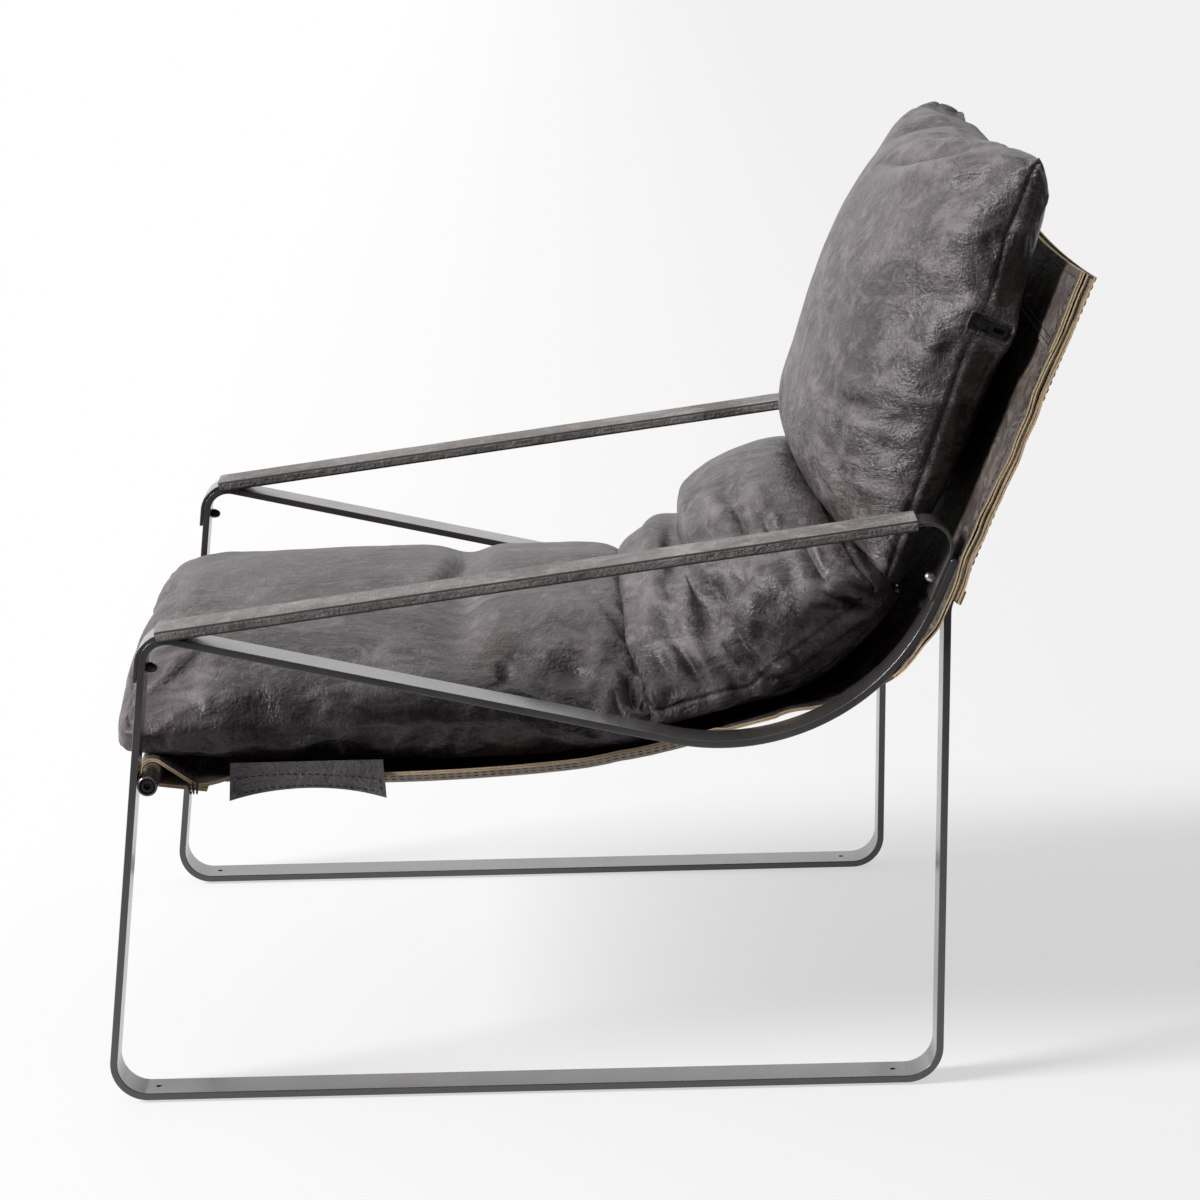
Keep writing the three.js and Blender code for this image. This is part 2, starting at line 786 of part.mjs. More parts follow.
// A sheet between two offsets to a path's left, with its half width, lift and sag by station
function sheet(path, low, high, half, lift, sag) {
  const positions = [];
  const index = [];
  const columns = sheetColumns;
  [low, high].forEach((offset) =>
    path.forEach((station) => {
      for (let c = 0; c <= columns; c++) {
        const u = Math.sin(((c / columns) * 2 - 1) * (Math.PI / 2));
        const forward = leftOf(station.left).negate();
        const point = along(station.at, station.left, offset + lift(station, u));
        point.addScaledVector(forward, -sag(station, u));
        positions.push(u * half(station), point.x, point.y);
      }
    }),
  );
  const rows = path.length;
  const vertex = (face, row, column) => (face * rows + row) * (columns + 1) + column;
  const quad = (a, b, c, d) => index.push(a, b, c, a, c, d);
  for (let row = 0; row < rows - 1; row++) {
    for (let c = 0; c < columns; c++) {
      const corners = (face) => [
        vertex(face, row, c),
        vertex(face, row, c + 1),
        vertex(face, row + 1, c + 1),
        vertex(face, row + 1, c),
      ];
      const [a, b, d, e] = corners(0);
      quad(...corners(1));
      quad(a, e, d, b);
    }
    quad(vertex(0, row, 0), vertex(1, row, 0), vertex(1, row + 1, 0), vertex(0, row + 1, 0));
    quad(
      vertex(0, row + 1, columns),
      vertex(1, row + 1, columns),
      vertex(1, row, columns),
      vertex(0, row, columns),
    );
  }
  for (let c = 0; c < columns; c++) {
    quad(vertex(0, 0, c), vertex(0, 0, c + 1), vertex(1, 0, c + 1), vertex(1, 0, c));
    const end = rows - 1;
    quad(vertex(1, end, c), vertex(1, end, c + 1), vertex(0, end, c + 1), vertex(0, end, c));
  }
  const geometry = new THREE.BufferGeometry();
  geometry.setAttribute("position", new THREE.Float32BufferAttribute(positions, 3));
  geometry.setIndex(index);
  return geometry;
}

// Both rear bolts pass through the sling
function boltCutters() {
  return [-1, 1].map((side) =>
    turned(
      pin(boltShank / 2 + boreGap, -barThickness - plies, barThickness),
      inSideView(rearBoltAt).setX(side * sideX),
      inSideView(backOut),
      smallRoundSides,
    ),
  );
}

const slingSag = (station, u) => topEdgeSag(slingRun - station.run, u);

function slingPly(low, high) {
  return cut(sheet(slingPath, low, high, slingHalf, slingCurl, slingSag), ...boltCutters());
}

function topBand() {
  const low = slingHalfGap + ply + seatGap;
  const path = stretch(slingPath, slingRun - bandHeight, slingRun);
  return sheet(path, low, low + ply, () => slingBackHalf, () => 0, slingSag);
}

// The back panel lies behind the uprights, with a folded hem at its foot
function backPanel() {
  const offset = -(barHalf + seatGap);
  const foot = along(uprightBend, backUp, backPanelFoot);
  const head = along(uprightBend, backUp, uprightLength + slingPastUpright);
  const path = divided(roundedPath([{ at: foot }, { at: head }]), sheetStep);
  const length = path[path.length - 1].run;
  const half = () => slingBackHalf;
  const sag = (station, u) => topEdgeSag(length - station.run, u);
  const panel = sheet(path, offset - backPly, offset, half, () => 0, sag);
  const hemPath = stretch(path, 0, hemHeight);
  const hem = extrudeAcross(
    stripOutline(hemPath, offset - 2 * backPly, offset - backPly / 2),
    2 * slingBackHalf,
  );
  return join(panel, hem);
}

// A cushion's lattice: each point of a unit box goes to its place by shares from -1 to 1
function cushion(place) {
  const geometry = new THREE.BoxGeometry(1, 1, 1, latticeAcross, latticeAlong, latticeDeep);
  const position = geometry.getAttribute("position");
  const swept = (value) => Math.sin(value * Math.PI);
  for (let i = 0; i < position.count; i++) {
    const point = place(
      swept(position.getX(i)),
      swept(position.getY(i)),
      2 * position.getZ(i),
    );
    position.setXYZ(i, point.x, point.y, point.z);
  }
  return geometry;
}

const dome = (share, power) => Math.pow(Math.max(0, 1 - share * share), power);
const ridge = (value, middle, run) => Math.exp(-(((value - middle) / run) ** 2));

// Seat cushion, along the sling's straight run, from its overhang past the front tube
const slingFace = slingHalfGap + ply + seatGap; // from the sling's path to a cushion on it
const seatAlong = flatStart.clone().sub(stitchPoint).normalize();
const seatBase = along(
  along(stitchPoint, leftOf(seatAlong), slingFace),
  seatAlong,
  (tubeAt.x - seatOverhang - stitchPoint.x) / seatAlong.x,
);
const seatLength = valleyCentre.x - seatAheadOfValley - seatBase.x;

function seatPoint(u, v, w) {
  const frontLift = v < 0 ? seatFrontRise * dome(v + 1, 4) : 0;
  const low = seatSideRise * (1 - dome(u, 0.6) * dome(v, 0.5)) + frontLift;
  const share = (v + 1) / 2;
  const crown = dome(u, 1.3) * dome(v, 0.15);
  const crease = seatDip * ridge(seatLength * (1 - share), seatDipFromRear, seatDipRun);
  const high = seatSideRise + seatBorder + seatCrown * crown - crease * dome(u, 1);
  const height = low + ((high - low) * (w + 1)) / 2;
  const lean = seatLeanShare * height;
  const run = lean + (seatLength - 2 * lean) * share;
  const point = along(along(seatBase, seatAlong, run), leftOf(seatAlong), height);
  const half = seatHalf - seatDrawIn * dome(v, 1) * dome(w, 1);
  return new THREE.Vector3(u * half, point.x, point.y);
}

// Lumbar cushion, in the bend of the sling, whose flat stretch it also covers
const lumbarUp = heading(lumbarTurn);
const lumbarFloor = valleyRadius + barHalf; // clear of the top ply by a gap
const lumbarAt = along(valleyCentre, heading(lumbarTurn - Math.PI / 2), lumbarFloor);

function slingUnder(run) {
  const turn = lumbarTurn - slingValleyStart;
  const bendRun = -lumbarFloor * Math.sin(turn);
  if (run > bendRun) return lumbarFloor - Math.sqrt(lumbarFloor ** 2 - run ** 2);
  return lumbarFloor * (1 - Math.cos(turn)) + (bendRun - run) * Math.tan(turn);
}

function lumbarPoint(u, v, w) {
  const crown = dome(u, 0.5) * dome(v, 0.15);
  const share = (w + 1) / 2;
  const rise = (share * (lumbarBorder + lumbarCrown * crown)) / (lumbarBorder + lumbarCrown);
  const start = lumbarFrontLean * rise - lumbarFront;
  const end = lumbarRear - lumbarRearLean * rise;
  const run = start + ((end - start) * (v + 1)) / 2;
  const low = slingUnder(run) + lumbarSideRise * (1 - dome(u, 0.6) * dome(v, 0.5));
  const crease = lumbarFold * dome(u, 0.5) * ridge(run, lumbarFoldAt, lumbarFoldRun);
  const high = Math.max(low + lumbarSideRise, lumbarBorder) + lumbarCrown * crown - crease;
  const height = low + (high - low) * share;
  const point = along(along(lumbarAt, lumbarUp, run), leftOf(lumbarUp), height);
  const half = lumbarHalf - lumbarDrawIn * dome(v, 1) * dome(w, 1);
  return new THREE.Vector3(u * half, point.x, point.y);
}

// Back cushion, against the leaning stretch of the sling
const pillowAt = along(
  along(slingBackLine, backUp, boltAboveBend + pillowLevel),
  backOut,
  -slingFace,
);

function pillowPoint(u, v, w) {
  const crown = dome(u, 0.5) * dome(v, 0.25);
  const length = pillowLength * (1 - v) / 2; // down from the upper edge
  const top = pillowTopRise * eased(pillowTopRun - length, 0, pillowTopRun);
  const corner = u * u * eased(pillowTopRun - length, 0, pillowTopRun);
  const low = pillowSideRise * (1 - dome(u, 0.6) * dome(v, 0.5)) + top;
  const high = pillowSideRise + pillowBorder + pillowCrown * crown;
  const height = low + ((high - low) * (w + 1)) / 2 + pillowEarRise * corner;
  const start = pillowSlopeShare * height - pillowLow;
  const short = pillowTopLeanShare * Math.max(0, pillowSideRise + pillowBorder - height);
  const end = pillowLength - pillowLow - short;
  const run = start + ((end - start) * (v + 1)) / 2 + pillowEar * corner;
  const point = along(along(pillowAt, backUp, run), leftOf(backUp), height);
  const half = pillowHalf - pillowDrawIn * dome(v, 1) * dome(w, 1);
  return new THREE.Vector3(u * half, point.x, point.y);
}

// Tab: a flap that hangs from the lower side edge of the seat cushion, outside the sling's edge
function seatTab() {
  const edge = along(seatBase, leftOf(seatAlong), seatSideRise - tabTuck);
  const upper = (share) => along(edge, seatAlong, tabFront + tabLength * share);
  const outline = [upper(0), upper(1)];
  for (let k = tabSteps; k >= 0; k--) {
    const share = k / tabSteps;
    const hollow = tabHollow * dome(2 * share - 1, 1);
    outline.push(upper(share).sub(at(0, tabDrop - hollow)));
  }
  return extrudeAcross(outline, tabLeather);
}

// Zip: its own frame has x along the travel, towards the sling, y up the back and z outwards
const zipGroup = new THREE.Group();
const zipRoot = along(
  along(pillowAt, backUp, zipUp),
  leftOf(backUp),
  pillowSideRise + pillowBorder,
);
zipGroup.position.set(pillowHalf + seatGap, zipRoot.x, zipRoot.y);
zipGroup.quaternion.setFromRotationMatrix(
  new THREE.Matrix4().makeBasis(
    inSideView(backOut),
    inSideView(backUp),
    new THREE.Vector3(1, 0, 0),
  ),
);

function plate(width, depth, height, x, z) {
  return new THREE.BoxGeometry(width, depth, height).translate(x + width / 2, 0, z + height / 2);
}

function zipperTape() {
  const tape = plate(pillowBorder, tapeWidth, tapeThickness, 0, 0);
  const chain = plate(pillowBorder, chainWidth, tapeThickness + chainHeight, 0, 0);
  return join(tape, chain);
}

const sliderFloor = tapeThickness + chainHeight + seatGap;
const sliderTop = sliderFloor + sliderPlate;
const bridgeAt = sliderInset + sliderLength / 2; // the bridge's middle, along the travel
const bridgeTop = sliderTop + bridgeHeight;

// Slider: a plate with a narrow nose, and a bridge under which the pull turns
function zipperSlider() {
  const half = sliderWidth / 2;
  const outline = new THREE.Shape([
    at(0, sliderTaper - half),
    at(sliderTaper, -half),
    at(sliderLength, -half + sliderTaper / 2),
    at(sliderLength, half - sliderTaper / 2),
    at(sliderTaper, half),
    at(0, half - sliderTaper),
  ]);
  const body = new THREE.ExtrudeGeometry(outline, { depth: sliderPlate, bevelEnabled: false });
  body.translate(sliderInset, 0, sliderFloor);
  const deep = sliderTop - sliderPlate / 2;
  const bridge = plate(bridgeLength, bridgeWidth, bridgeTop - deep, 0, deep);
  const under = plate(
    bridgeLength - 2 * bridgeLeg,
    bridgeWidth + overrun,
    bridgeHeight - bridgeBar,
    bridgeLeg,
    sliderTop,
  );
  [bridge, under].forEach((block) => block.translate(bridgeAt - bridgeLength / 2, 0, 0));
  return join(body, cut(bridge, under));
}

// Pull: a flat tab with a window. Its end bar lies under the bridge, whose leg is in its eye.
const pullAxis = sliderTop + seatGap + pullThickness / 2;
const eyeReach = Math.hypot(bridgeLength / 2, bridgeTop - pullAxis) + boreGap;

function zipperPull() {
  const half = pullWidth / 2;
  const eyeHalf = bridgeWidth / 2 + boreGap;
  const neck = eyeHalf + pullArm;
  const start = -pullThickness / 2;
  const end = start + pullLength;
  const shoulder = eyeReach + pullArm;
  const corner = half / 2;
  const shape = new THREE.Shape();
  shape.moveTo(start, -neck);
  shape.lineTo(shoulder, -neck);
  shape.lineTo(shoulder + half - neck, -half);
  shape.absarc(end - corner, -half + corner, corner, -Math.PI / 2, 0);
  shape.absarc(end - corner, half - corner, corner, 0, Math.PI / 2);
  shape.lineTo(shoulder + half - neck, half);
  shape.lineTo(shoulder, neck);
  shape.lineTo(start, neck);
  const opening = (from, to, side) =>
    new THREE.Path([at(from, -side), at(from, side), at(to, side), at(to, -side)]);
  const windowEnd = end - corner;
  shape.holes.push(
    opening(-start, eyeReach, eyeHalf),
    opening(windowEnd - pullWindowLength, windowEnd, pullWindow / 2),
  );
  const pull = new THREE.ExtrudeGeometry(shape, {
    depth: pullThickness,
    bevelEnabled: false,
    curveSegments: hexSides,
  });
  return pull.translate(bridgeAt, 0, pullAxis - pullThickness / 2);
}

// Finishes
const finishes = {
  steel: { color: "#3c3b3b", roughness: 0.45, metalness: 0.7 },
  zinc: { color: "#8c8c8a", roughness: 0.3, metalness: 0.9 },
  blackSteel: { color: "#222222", roughness: 0.4, metalness: 0.8 },
  nylon: { color: "#1c1c1c", roughness: 0.6, metalness: 0 },
  leather: { color: "#4a4547", roughness: 0.55, metalness: 0 },
  armLeather: { color: "#6d6863", roughness: 0.65, metalness: 0 },
  suede: { color: "#a5927a", roughness: 0.9, metalness: 0 },
  zip: { color: "#191919", roughness: 0.7, metalness: 0 },
};

function piece(name, geometry, finish) {
  const mesh = new THREE.Mesh(geometry, new THREE.MeshStandardMaterial(finishes[finish]));
  mesh.name = name;
  return mesh;
}

// What each side has: its frame, arm, bolts and glides
function sideGroup(side, name) {
  const group = new THREE.Group();
  const frontGrip = armStrip + seatGap + barThickness + seatGap + boltInNut;
  const rearGrip = 2 * barThickness + plies + seatGap + armStrip + seatGap + boltInNut;
  group.position.x = side * sideX;
  group.add(
    piece(`side_frame_${name}`, sideFrame(), "steel"),
    piece(`arm_strip_${name}`, armStripPiece(), "steel"),
    piece(`arm_sleeve_${name}`, armSleeve(), "armLeather"),
    piece(`arm_front_bolt_${name}`, bolt(frontHeadAt, legIn, frontGrip), "blackSteel"),
    piece(`arm_front_nut_${name}`, domedNut(frontNutFace, legIn), "blackSteel"),
    piece(
      `arm_rear_bolt_${name}`,
      bolt(rearHeadAt, backOut.clone().negate(), rearGrip),
      "blackSteel",
    ),
    piece(`arm_rear_nut_${name}`, domedNut(rearNutFace, backOut.clone().negate()), "zinc"),
    piece(`glide_front_${name}`, glide(frontGlideInset), "nylon"),
    piece(`glide_rear_${name}`, glide(baseDepth - rearGlideInset), "nylon"),
  );
  return group;
}

// The front tube with its bosses, inserts and screws, and the crossbar
function crossPieces() {
  const group = new THREE.Group();
  group.add(
    piece("front_tube", frontTube(), "steel"),
    piece("back_crossbar", backCrossbar(), "steel"),
  );
  for (const [side, name] of [[1, "left"], [-1, "right"]]) {
    group.add(
      piece(`tube_boss_${name}`, tubeBoss(side), "steel"),
      piece(`tube_insert_${name}`, tubeInsert(side), "zinc"),
      piece(`tube_screw_${name}`, tubeScrew(side), "blackSteel"),
    );
  }
  return group;
}

function leatherPieces() {
  const group = new THREE.Group();
  group.add(
    piece("sling", slingPly(slingHalfGap, slingHalfGap + ply), "leather"),
    piece("sling_lining", slingPly(-slingHalfGap - ply, -slingHalfGap), "suede"),
    piece("sling_top_band", topBand(), "leather"),
    piece("sling_back_panel", backPanel(), "leather"),
    piece("seat_cushion", cushion(seatPoint), "leather"),
    piece("lumbar_cushion", cushion(lumbarPoint), "leather"),
    piece("back_cushion", cushion(pillowPoint), "leather"),
  );
  for (const [side, name] of [[1, "left"], [-1, "right"]]) {
    const tab = piece(`cushion_tab_${name}`, seatTab(), "leather");
    tab.position.x = side * (seatHalf - tabLeather / 2);
    group.add(tab);
  }
  return group;
}

zipGroup.add(
  piece("zipper_tape", zipperTape(), "zip"),
  piece("zipper_slider", zipperSlider(), "blackSteel"),
  piece("zipper_pull", zipperPull(), "blackSteel"),
);

// The chair stands on its glides, with the middle of its footprint at the origin
const chair = new THREE.Group();
chair.add(sideGroup(1, "left"), sideGroup(-1, "right"), crossPieces(), leatherPieces(), zipGroup);
const footprint = new THREE.Box3().setFromObject(chair, true);
chair.position.set(0, -(footprint.min.y + footprint.max.y) / 2, glideHeight);

const part = new THREE.Group();
part.add(chair);

export default part;
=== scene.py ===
# Leather sling lounge chair: the looks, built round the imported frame. Lengths below are in
# millimetres in the side view's own frame (y from the front foot backwards, z from the underside
# of the base bars) and become metres in place().
import math
import bpy
import bmesh
import numpy as np
from mathutils import Matrix, Vector, kdtree, noise


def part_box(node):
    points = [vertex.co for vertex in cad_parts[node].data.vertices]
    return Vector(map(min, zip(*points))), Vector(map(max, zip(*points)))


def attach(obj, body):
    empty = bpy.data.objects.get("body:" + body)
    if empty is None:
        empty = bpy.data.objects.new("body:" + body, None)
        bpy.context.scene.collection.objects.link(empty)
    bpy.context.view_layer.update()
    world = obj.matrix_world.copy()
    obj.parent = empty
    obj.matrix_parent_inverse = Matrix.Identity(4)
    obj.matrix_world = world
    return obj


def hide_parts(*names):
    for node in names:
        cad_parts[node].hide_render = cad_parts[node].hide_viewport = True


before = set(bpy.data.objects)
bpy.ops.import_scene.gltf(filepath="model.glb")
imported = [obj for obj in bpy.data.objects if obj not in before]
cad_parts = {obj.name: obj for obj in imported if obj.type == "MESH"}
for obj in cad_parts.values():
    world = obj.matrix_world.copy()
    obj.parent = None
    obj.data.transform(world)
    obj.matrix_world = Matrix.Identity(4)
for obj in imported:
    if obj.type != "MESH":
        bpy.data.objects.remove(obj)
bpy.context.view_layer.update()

shiftY = -429.9123773574829    # from the side view's frame to the model's, mm
shiftZ = 2.3
degree = math.pi / 180
sides = {"left": 1, "right": -1}

# ---- the photograph's camera, fitted to the frame ----
cameraData = {
    "location": (3.62831, -0.01122, 1.18904),
    "yaw": -0.0057458,
    "pitch": 0.2245213,
    "roll": -0.0216445,
    "focalPixels": 3984.0,     # on a picture 1200 pixels wide
    "middle": 600.0, "picture": 1200, "sensor": 36, "clip": 300,
}


def linked(name, data):
    made = bpy.data.objects.new(name, data)
    bpy.context.scene.collection.objects.link(made)
    return made


def meshFrom(bm, name):
    mesh = bpy.data.meshes.new(name)
    bm.to_mesh(mesh)
    bm.free()
    return mesh


def cameraAxes():
    yaw, pitch, roll = cameraData["yaw"], cameraData["pitch"], cameraData["roll"]
    ahead = Vector((-math.cos(yaw) * math.cos(pitch), -math.sin(yaw) * math.cos(pitch),
                    -math.sin(pitch)))
    right = Vector((-math.sin(yaw), math.cos(yaw), 0))
    up = right.cross(ahead)
    tilted = right * math.cos(roll) + up * math.sin(roll)
    return tilted, -right * math.sin(roll) + up * math.cos(roll), ahead


def setCamera():
    right, up, ahead = cameraAxes()
    lens = bpy.data.cameras.new("photoCamera")
    lens.sensor_width = cameraData["sensor"]
    lens.lens = cameraData["focalPixels"] * cameraData["sensor"] / cameraData["picture"]
    lens.clip_end = cameraData["clip"]
    camera = linked("photoCamera", lens)
    turn = Matrix((right, up, -ahead)).transposed().to_4x4()
    camera.matrix_world = Matrix.Translation(cameraData["location"]) @ turn
    bpy.context.scene.camera = camera


# Where points in metres land on the 1200 pixel picture
def pixelOf(points):
    right, up, ahead = cameraAxes()
    gap = points - np.array(cameraData["location"])
    depth = gap @ np.array(ahead)
    scale = cameraData["focalPixels"] / depth
    across = cameraData["middle"] + scale * (gap @ np.array(right))
    return across, cameraData["middle"] - scale * (gap @ np.array(up))


# ---- the side view: points are Vectors (y, z) ----
def at(y, z):
    return Vector((y, z))


def heading(angle):
    return at(math.cos(angle), math.sin(angle))


def leftOf(d):
    return at(-d.y, d.x)


def cross(a, b):
    return a.x * b.y - a.y * b.x


def angleOf(d):
    return math.atan2(d.y, d.x)


def spun(d, angle):
    c, s = math.cos(angle), math.sin(angle)
    return at(d.x * c - d.y * s, d.x * s + d.y * c)


def meet(p, d, q, e):
    return p + d * (cross(q - p, e) / cross(d, e))


def bend(before, corner, after, radius):
    inward, outward = (corner - before).normalized(), (after - corner).normalized()
    turn = math.atan2(cross(inward, outward), inward.dot(outward))
    start = corner - inward * radius * math.tan(abs(turn) / 2)
    centre = start + leftOf(inward) * math.copysign(radius, turn)
    return start, centre, turn, leftOf(inward)


# Stations (point, unit vector to the left, run) along straight runs and rounded corners, which
# are given as (corner, radius)
def roundedPath(corners, longest, arcStep=3 * degree):
    path = []

    def add(point, left):
        run = path[-1][2] + (point - path[-1][0]).length if path else 0
        if path and (point - path[-1][0]).length < 1e-6:
            return
        path.append((point, left, run))

    for i, (corner, radius) in enumerate(corners):
        if i in (0, len(corners) - 1):
            other = corners[1][0] if i == 0 else corners[-2][0]
            along = (other - corner) if i == 0 else (corner - other)
            add(corner.copy(), leftOf(along.normalized()))
            continue
        start, centre, turn, left = bend(corners[i - 1][0], corner, corners[i + 1][0], radius)
        steps = math.ceil(abs(turn) / arcStep)
        for k in range(steps + 1):
            angle = turn * k / steps
            add(centre + spun(start - centre, angle), spun(left, angle))
    finer = []
    for here, there in zip(path, path[1:]):
        count = max(1, math.ceil((there[2] - here[2]) / longest))
        for k in range(count):
            share = k / count
            finer.append((here[0].lerp(there[0], share),
                          here[1].lerp(there[1], share).normalized(),
                          here[2] + (there[2] - here[2]) * share))
    return finer + [path[-1]]


def stationAt(path, run):
    for here, there in zip(path, path[1:]):
        if there[2] >= run:
            share = (run - here[2]) / (there[2] - here[2])
            return (here[0].lerp(there[0], share), here[1].lerp(there[1], share).normalized(), run)
    return path[-1]


def stretch(path, first, last):
    inside = [s for s in path if first + 1e-4 < s[2] < last - 1e-4]
    return [stationAt(path, first)] + inside + [stationAt(path, last)]


# The model's point in metres for x across and a point of the side view
def place(x, p):
    return Vector((x, p.x + shiftY, p.y + shiftZ)) * 0.001


def direction(d):
    return Vector((0, d.x, d.y))


# ---- lines of the chair, with the same values as the solids ----
chair = {
    "width": 690, "barWidth": 38, "bar": 6.35, "barEdge": 0.8,
    "baseDepth": 727, "cornerHeight": 418,
    "legLean": 6.5, "rearLegLean": 1.1, "railFall": 12.8, "backLean": 23,
    "footRadius": 29, "topRadius": 21.8, "valleyRadius": 198.2, "uprightBendRadius": 30,
    "valleyEndRise": 0.7, "uprightLength": 296, "boltAboveBend": 15, "railPastBolt": 22,
    "frontBoltDrop": 6.5, "gap": 0.3, "ply": 1.4,
    "tube": 17.5, "tubeBelowCorner": 135.5,
    "armStrip": 3, "armRearReach": 61.4, "armRearRadius": 20.5, "armFrontTail": 10,
    "armRearTail": 15,
    "stitchBehindTube": 36.5, "stitchBelowTube": 12.9, "loopTail": 10,
    "slingValleyStart": 14, "slingFlatRun": 142, "slingFlatRadius": 400,
    "slingPastUpright": 9, "slingSideGap": 9, "slingBackLap": 4,
    "widenStart": 31, "widenEnd": 50,
}

barHalf = chair["bar"] / 2
gap, ply = chair["gap"], chair["ply"]
legUp = heading((90 - chair["legLean"]) * degree)
rearLegUp = heading((90 - chair["rearLegLean"]) * degree)
railBack = heading(-chair["railFall"] * degree)
backUp = heading((90 - chair["backLean"]) * degree)
backOut = -leftOf(backUp)
legIn = -leftOf(legUp)
legLine = at(0, 0) - leftOf(legUp) * barHalf
rearLegLine = at(chair["baseDepth"], 0) + leftOf(rearLegUp) * barHalf
topCorner = meet(at(0, 0), legUp, at(0, chair["cornerHeight"]), at(1, 0))
railLine = topCorner - leftOf(railBack) * barHalf
plies = 2 * ply + 3 * gap
railToUpright = chair["bar"] + plies
valleyRadius = chair["valleyRadius"]
curveEndLine = railLine + leftOf(railBack) * valleyRadius + backOut * valleyRadius
railEndLine = rearLegLine - backOut * railToUpright + backUp * chair["valleyEndRise"]
valleyEnd = meet(curveEndLine, railBack, railEndLine, rearLegUp)
uprightBend = valleyEnd + backOut * railToUpright - backUp * chair["valleyEndRise"]
railBackLine = uprightBend - backOut * railToUpright
railEnd = railBackLine + backUp * (chair["boltAboveBend"] + chair["railPastBolt"])
valleyCorner = meet(railLine, railBack, railBackLine, backUp)
topLineCorner = meet(legLine, legUp, railLine, railBack)
frontFoot = meet(legLine, legUp, at(0, barHalf), at(1, 0))
rearFoot = meet(rearLegLine, rearLegUp, at(0, barHalf), at(1, 0))
uprightEnd = uprightBend + backUp * chair["uprightLength"]
valleyCentre = bend(topLineCorner, valleyCorner, railEnd, valleyRadius)[1]
topBendCentre = bend(valleyCorner, topLineCorner, frontFoot, chair["topRadius"])[1]
frontBoltAt = topBendCentre - legIn * chair["topRadius"] - legUp * chair["frontBoltDrop"]
rearBoltAt = uprightBend + backUp * chair["boltAboveBend"]
sideX = (chair["width"] - chair["barWidth"]) / 2
innerX = chair["width"] / 2 - chair["barWidth"]
tubeHalf = chair["tube"] / 2
tubeHeight = chair["cornerHeight"] - chair["tubeBelowCorner"]
tubeAt = (meet(legLine, legUp, at(0, tubeHeight), at(1, 0))
          + at((barHalf + gap + tubeHalf) / math.cos(chair["legLean"] * degree), 0))

stripHalf = chair["armStrip"] / 2
stripFrontRadius = chair["topRadius"] + barHalf + gap + stripHalf
frontTailLine = frontBoltAt - legIn * (barHalf + gap + stripHalf)
rearTailLine = rearBoltAt - backOut * (railToUpright + barHalf + gap + stripHalf)
armRearCorner = rearTailLine + backUp * chair["armRearReach"]
armGap = armRearCorner - topBendCentre
armBack = heading(angleOf(armGap) - math.asin(stripFrontRadius / armGap.length))
armLine = topBendCentre + leftOf(armBack) * stripFrontRadius
armCorners = [
    (frontTailLine - legUp * chair["armFrontTail"], 0),
    (meet(frontTailLine, legUp, armLine, armBack), stripFrontRadius),
    (armRearCorner, chair["armRearRadius"]),
    (rearTailLine - backUp * chair["armRearTail"], 0),
]

slingHalfGap = gap / 2
loopRadius = tubeHalf + gap + ply + slingHalfGap
slingBackLine = uprightBend - backOut * (barHalf + gap + ply + slingHalfGap)
slingRadius = valleyRadius + barHalf + gap + ply + slingHalfGap
slingTop = slingBackLine + backUp * (chair["uprightLength"] + chair["slingPastUpright"])
stitchPoint = tubeAt + at(chair["stitchBehindTube"], -chair["stitchBelowTube"])
slingFace = slingHalfGap + ply + gap    # from the sling's middle to a cushion on it


def slingLoop(low, high):
    def touch(point, side):
        way = point - tubeAt
        spread = math.acos(loopRadius / way.length)
        return tubeAt + heading(angleOf(way) + side * spread) * loopRadius
    bottom, top = touch(low, -1), touch(high, 1)
    front = tubeAt - at(loopRadius, 0)
    down, up = (bottom - low).normalized(), (high - top).normalized()
    return [(low, 0), (meet(bottom, down, front, at(0, 1)), loopRadius),
            (meet(front, at(0, 1), top, up), loopRadius)]


def slingCorners():
    first, last = chair["slingValleyStart"] * degree, math.pi / 2 - chair["backLean"] * degree
    touch = valleyCentre + heading(first - math.pi / 2) * slingRadius
    flatStart = touch - heading(first) * chair["slingFlatRun"]
    reach = slingRadius / math.cos((last - first) / 2)
    corner = valleyCentre + heading((first + last) / 2 - math.pi / 2) * reach
    tail = stitchPoint + at(chair["loopTail"], -plies)
    return flatStart, [*slingLoop(tail, stitchPoint), (stitchPoint, loopRadius),
                       (flatStart, chair["slingFlatRadius"]), (corner, slingRadius),
                       (slingTop, 0)]


flatStart, slingLine = slingCorners()
slingPath = roundedPath(slingLine, 12)
slingRun = slingPath[-1][2]
seatAlong = (flatStart - stitchPoint).normalized()


# ---- making meshes ----
def finishMesh(bm, name, materials, smooth=180, recalc=True):
    if recalc:
        bmesh.ops.recalc_face_normals(bm, faces=bm.faces)
    mesh = meshFrom(bm, name)
    for material in materials:
        mesh.materials.append(material)
    mesh.polygons.foreach_set("use_smooth", [True] * len(mesh.polygons))
    if smooth < 180:
        mesh.set_sharp_from_angle(angle=smooth * degree)
    piece = linked(name, mesh)
    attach(piece, "chair")
    return piece


def applyModifiers(piece):
    bpy.context.view_layer.objects.active = piece
    for modifier in list(piece.modifiers):
        with bpy.context.temp_override(object=piece, active_object=piece):
            bpy.ops.object.modifier_apply(modifier=modifier.name)


# Keeps the light even across flat faces beside small rounded edges
def evenShading(piece):
    modifier = piece.modifiers.new("evenShading", "WEIGHTED_NORMAL")
    modifier.keep_sharp = True
    applyModifiers(piece)


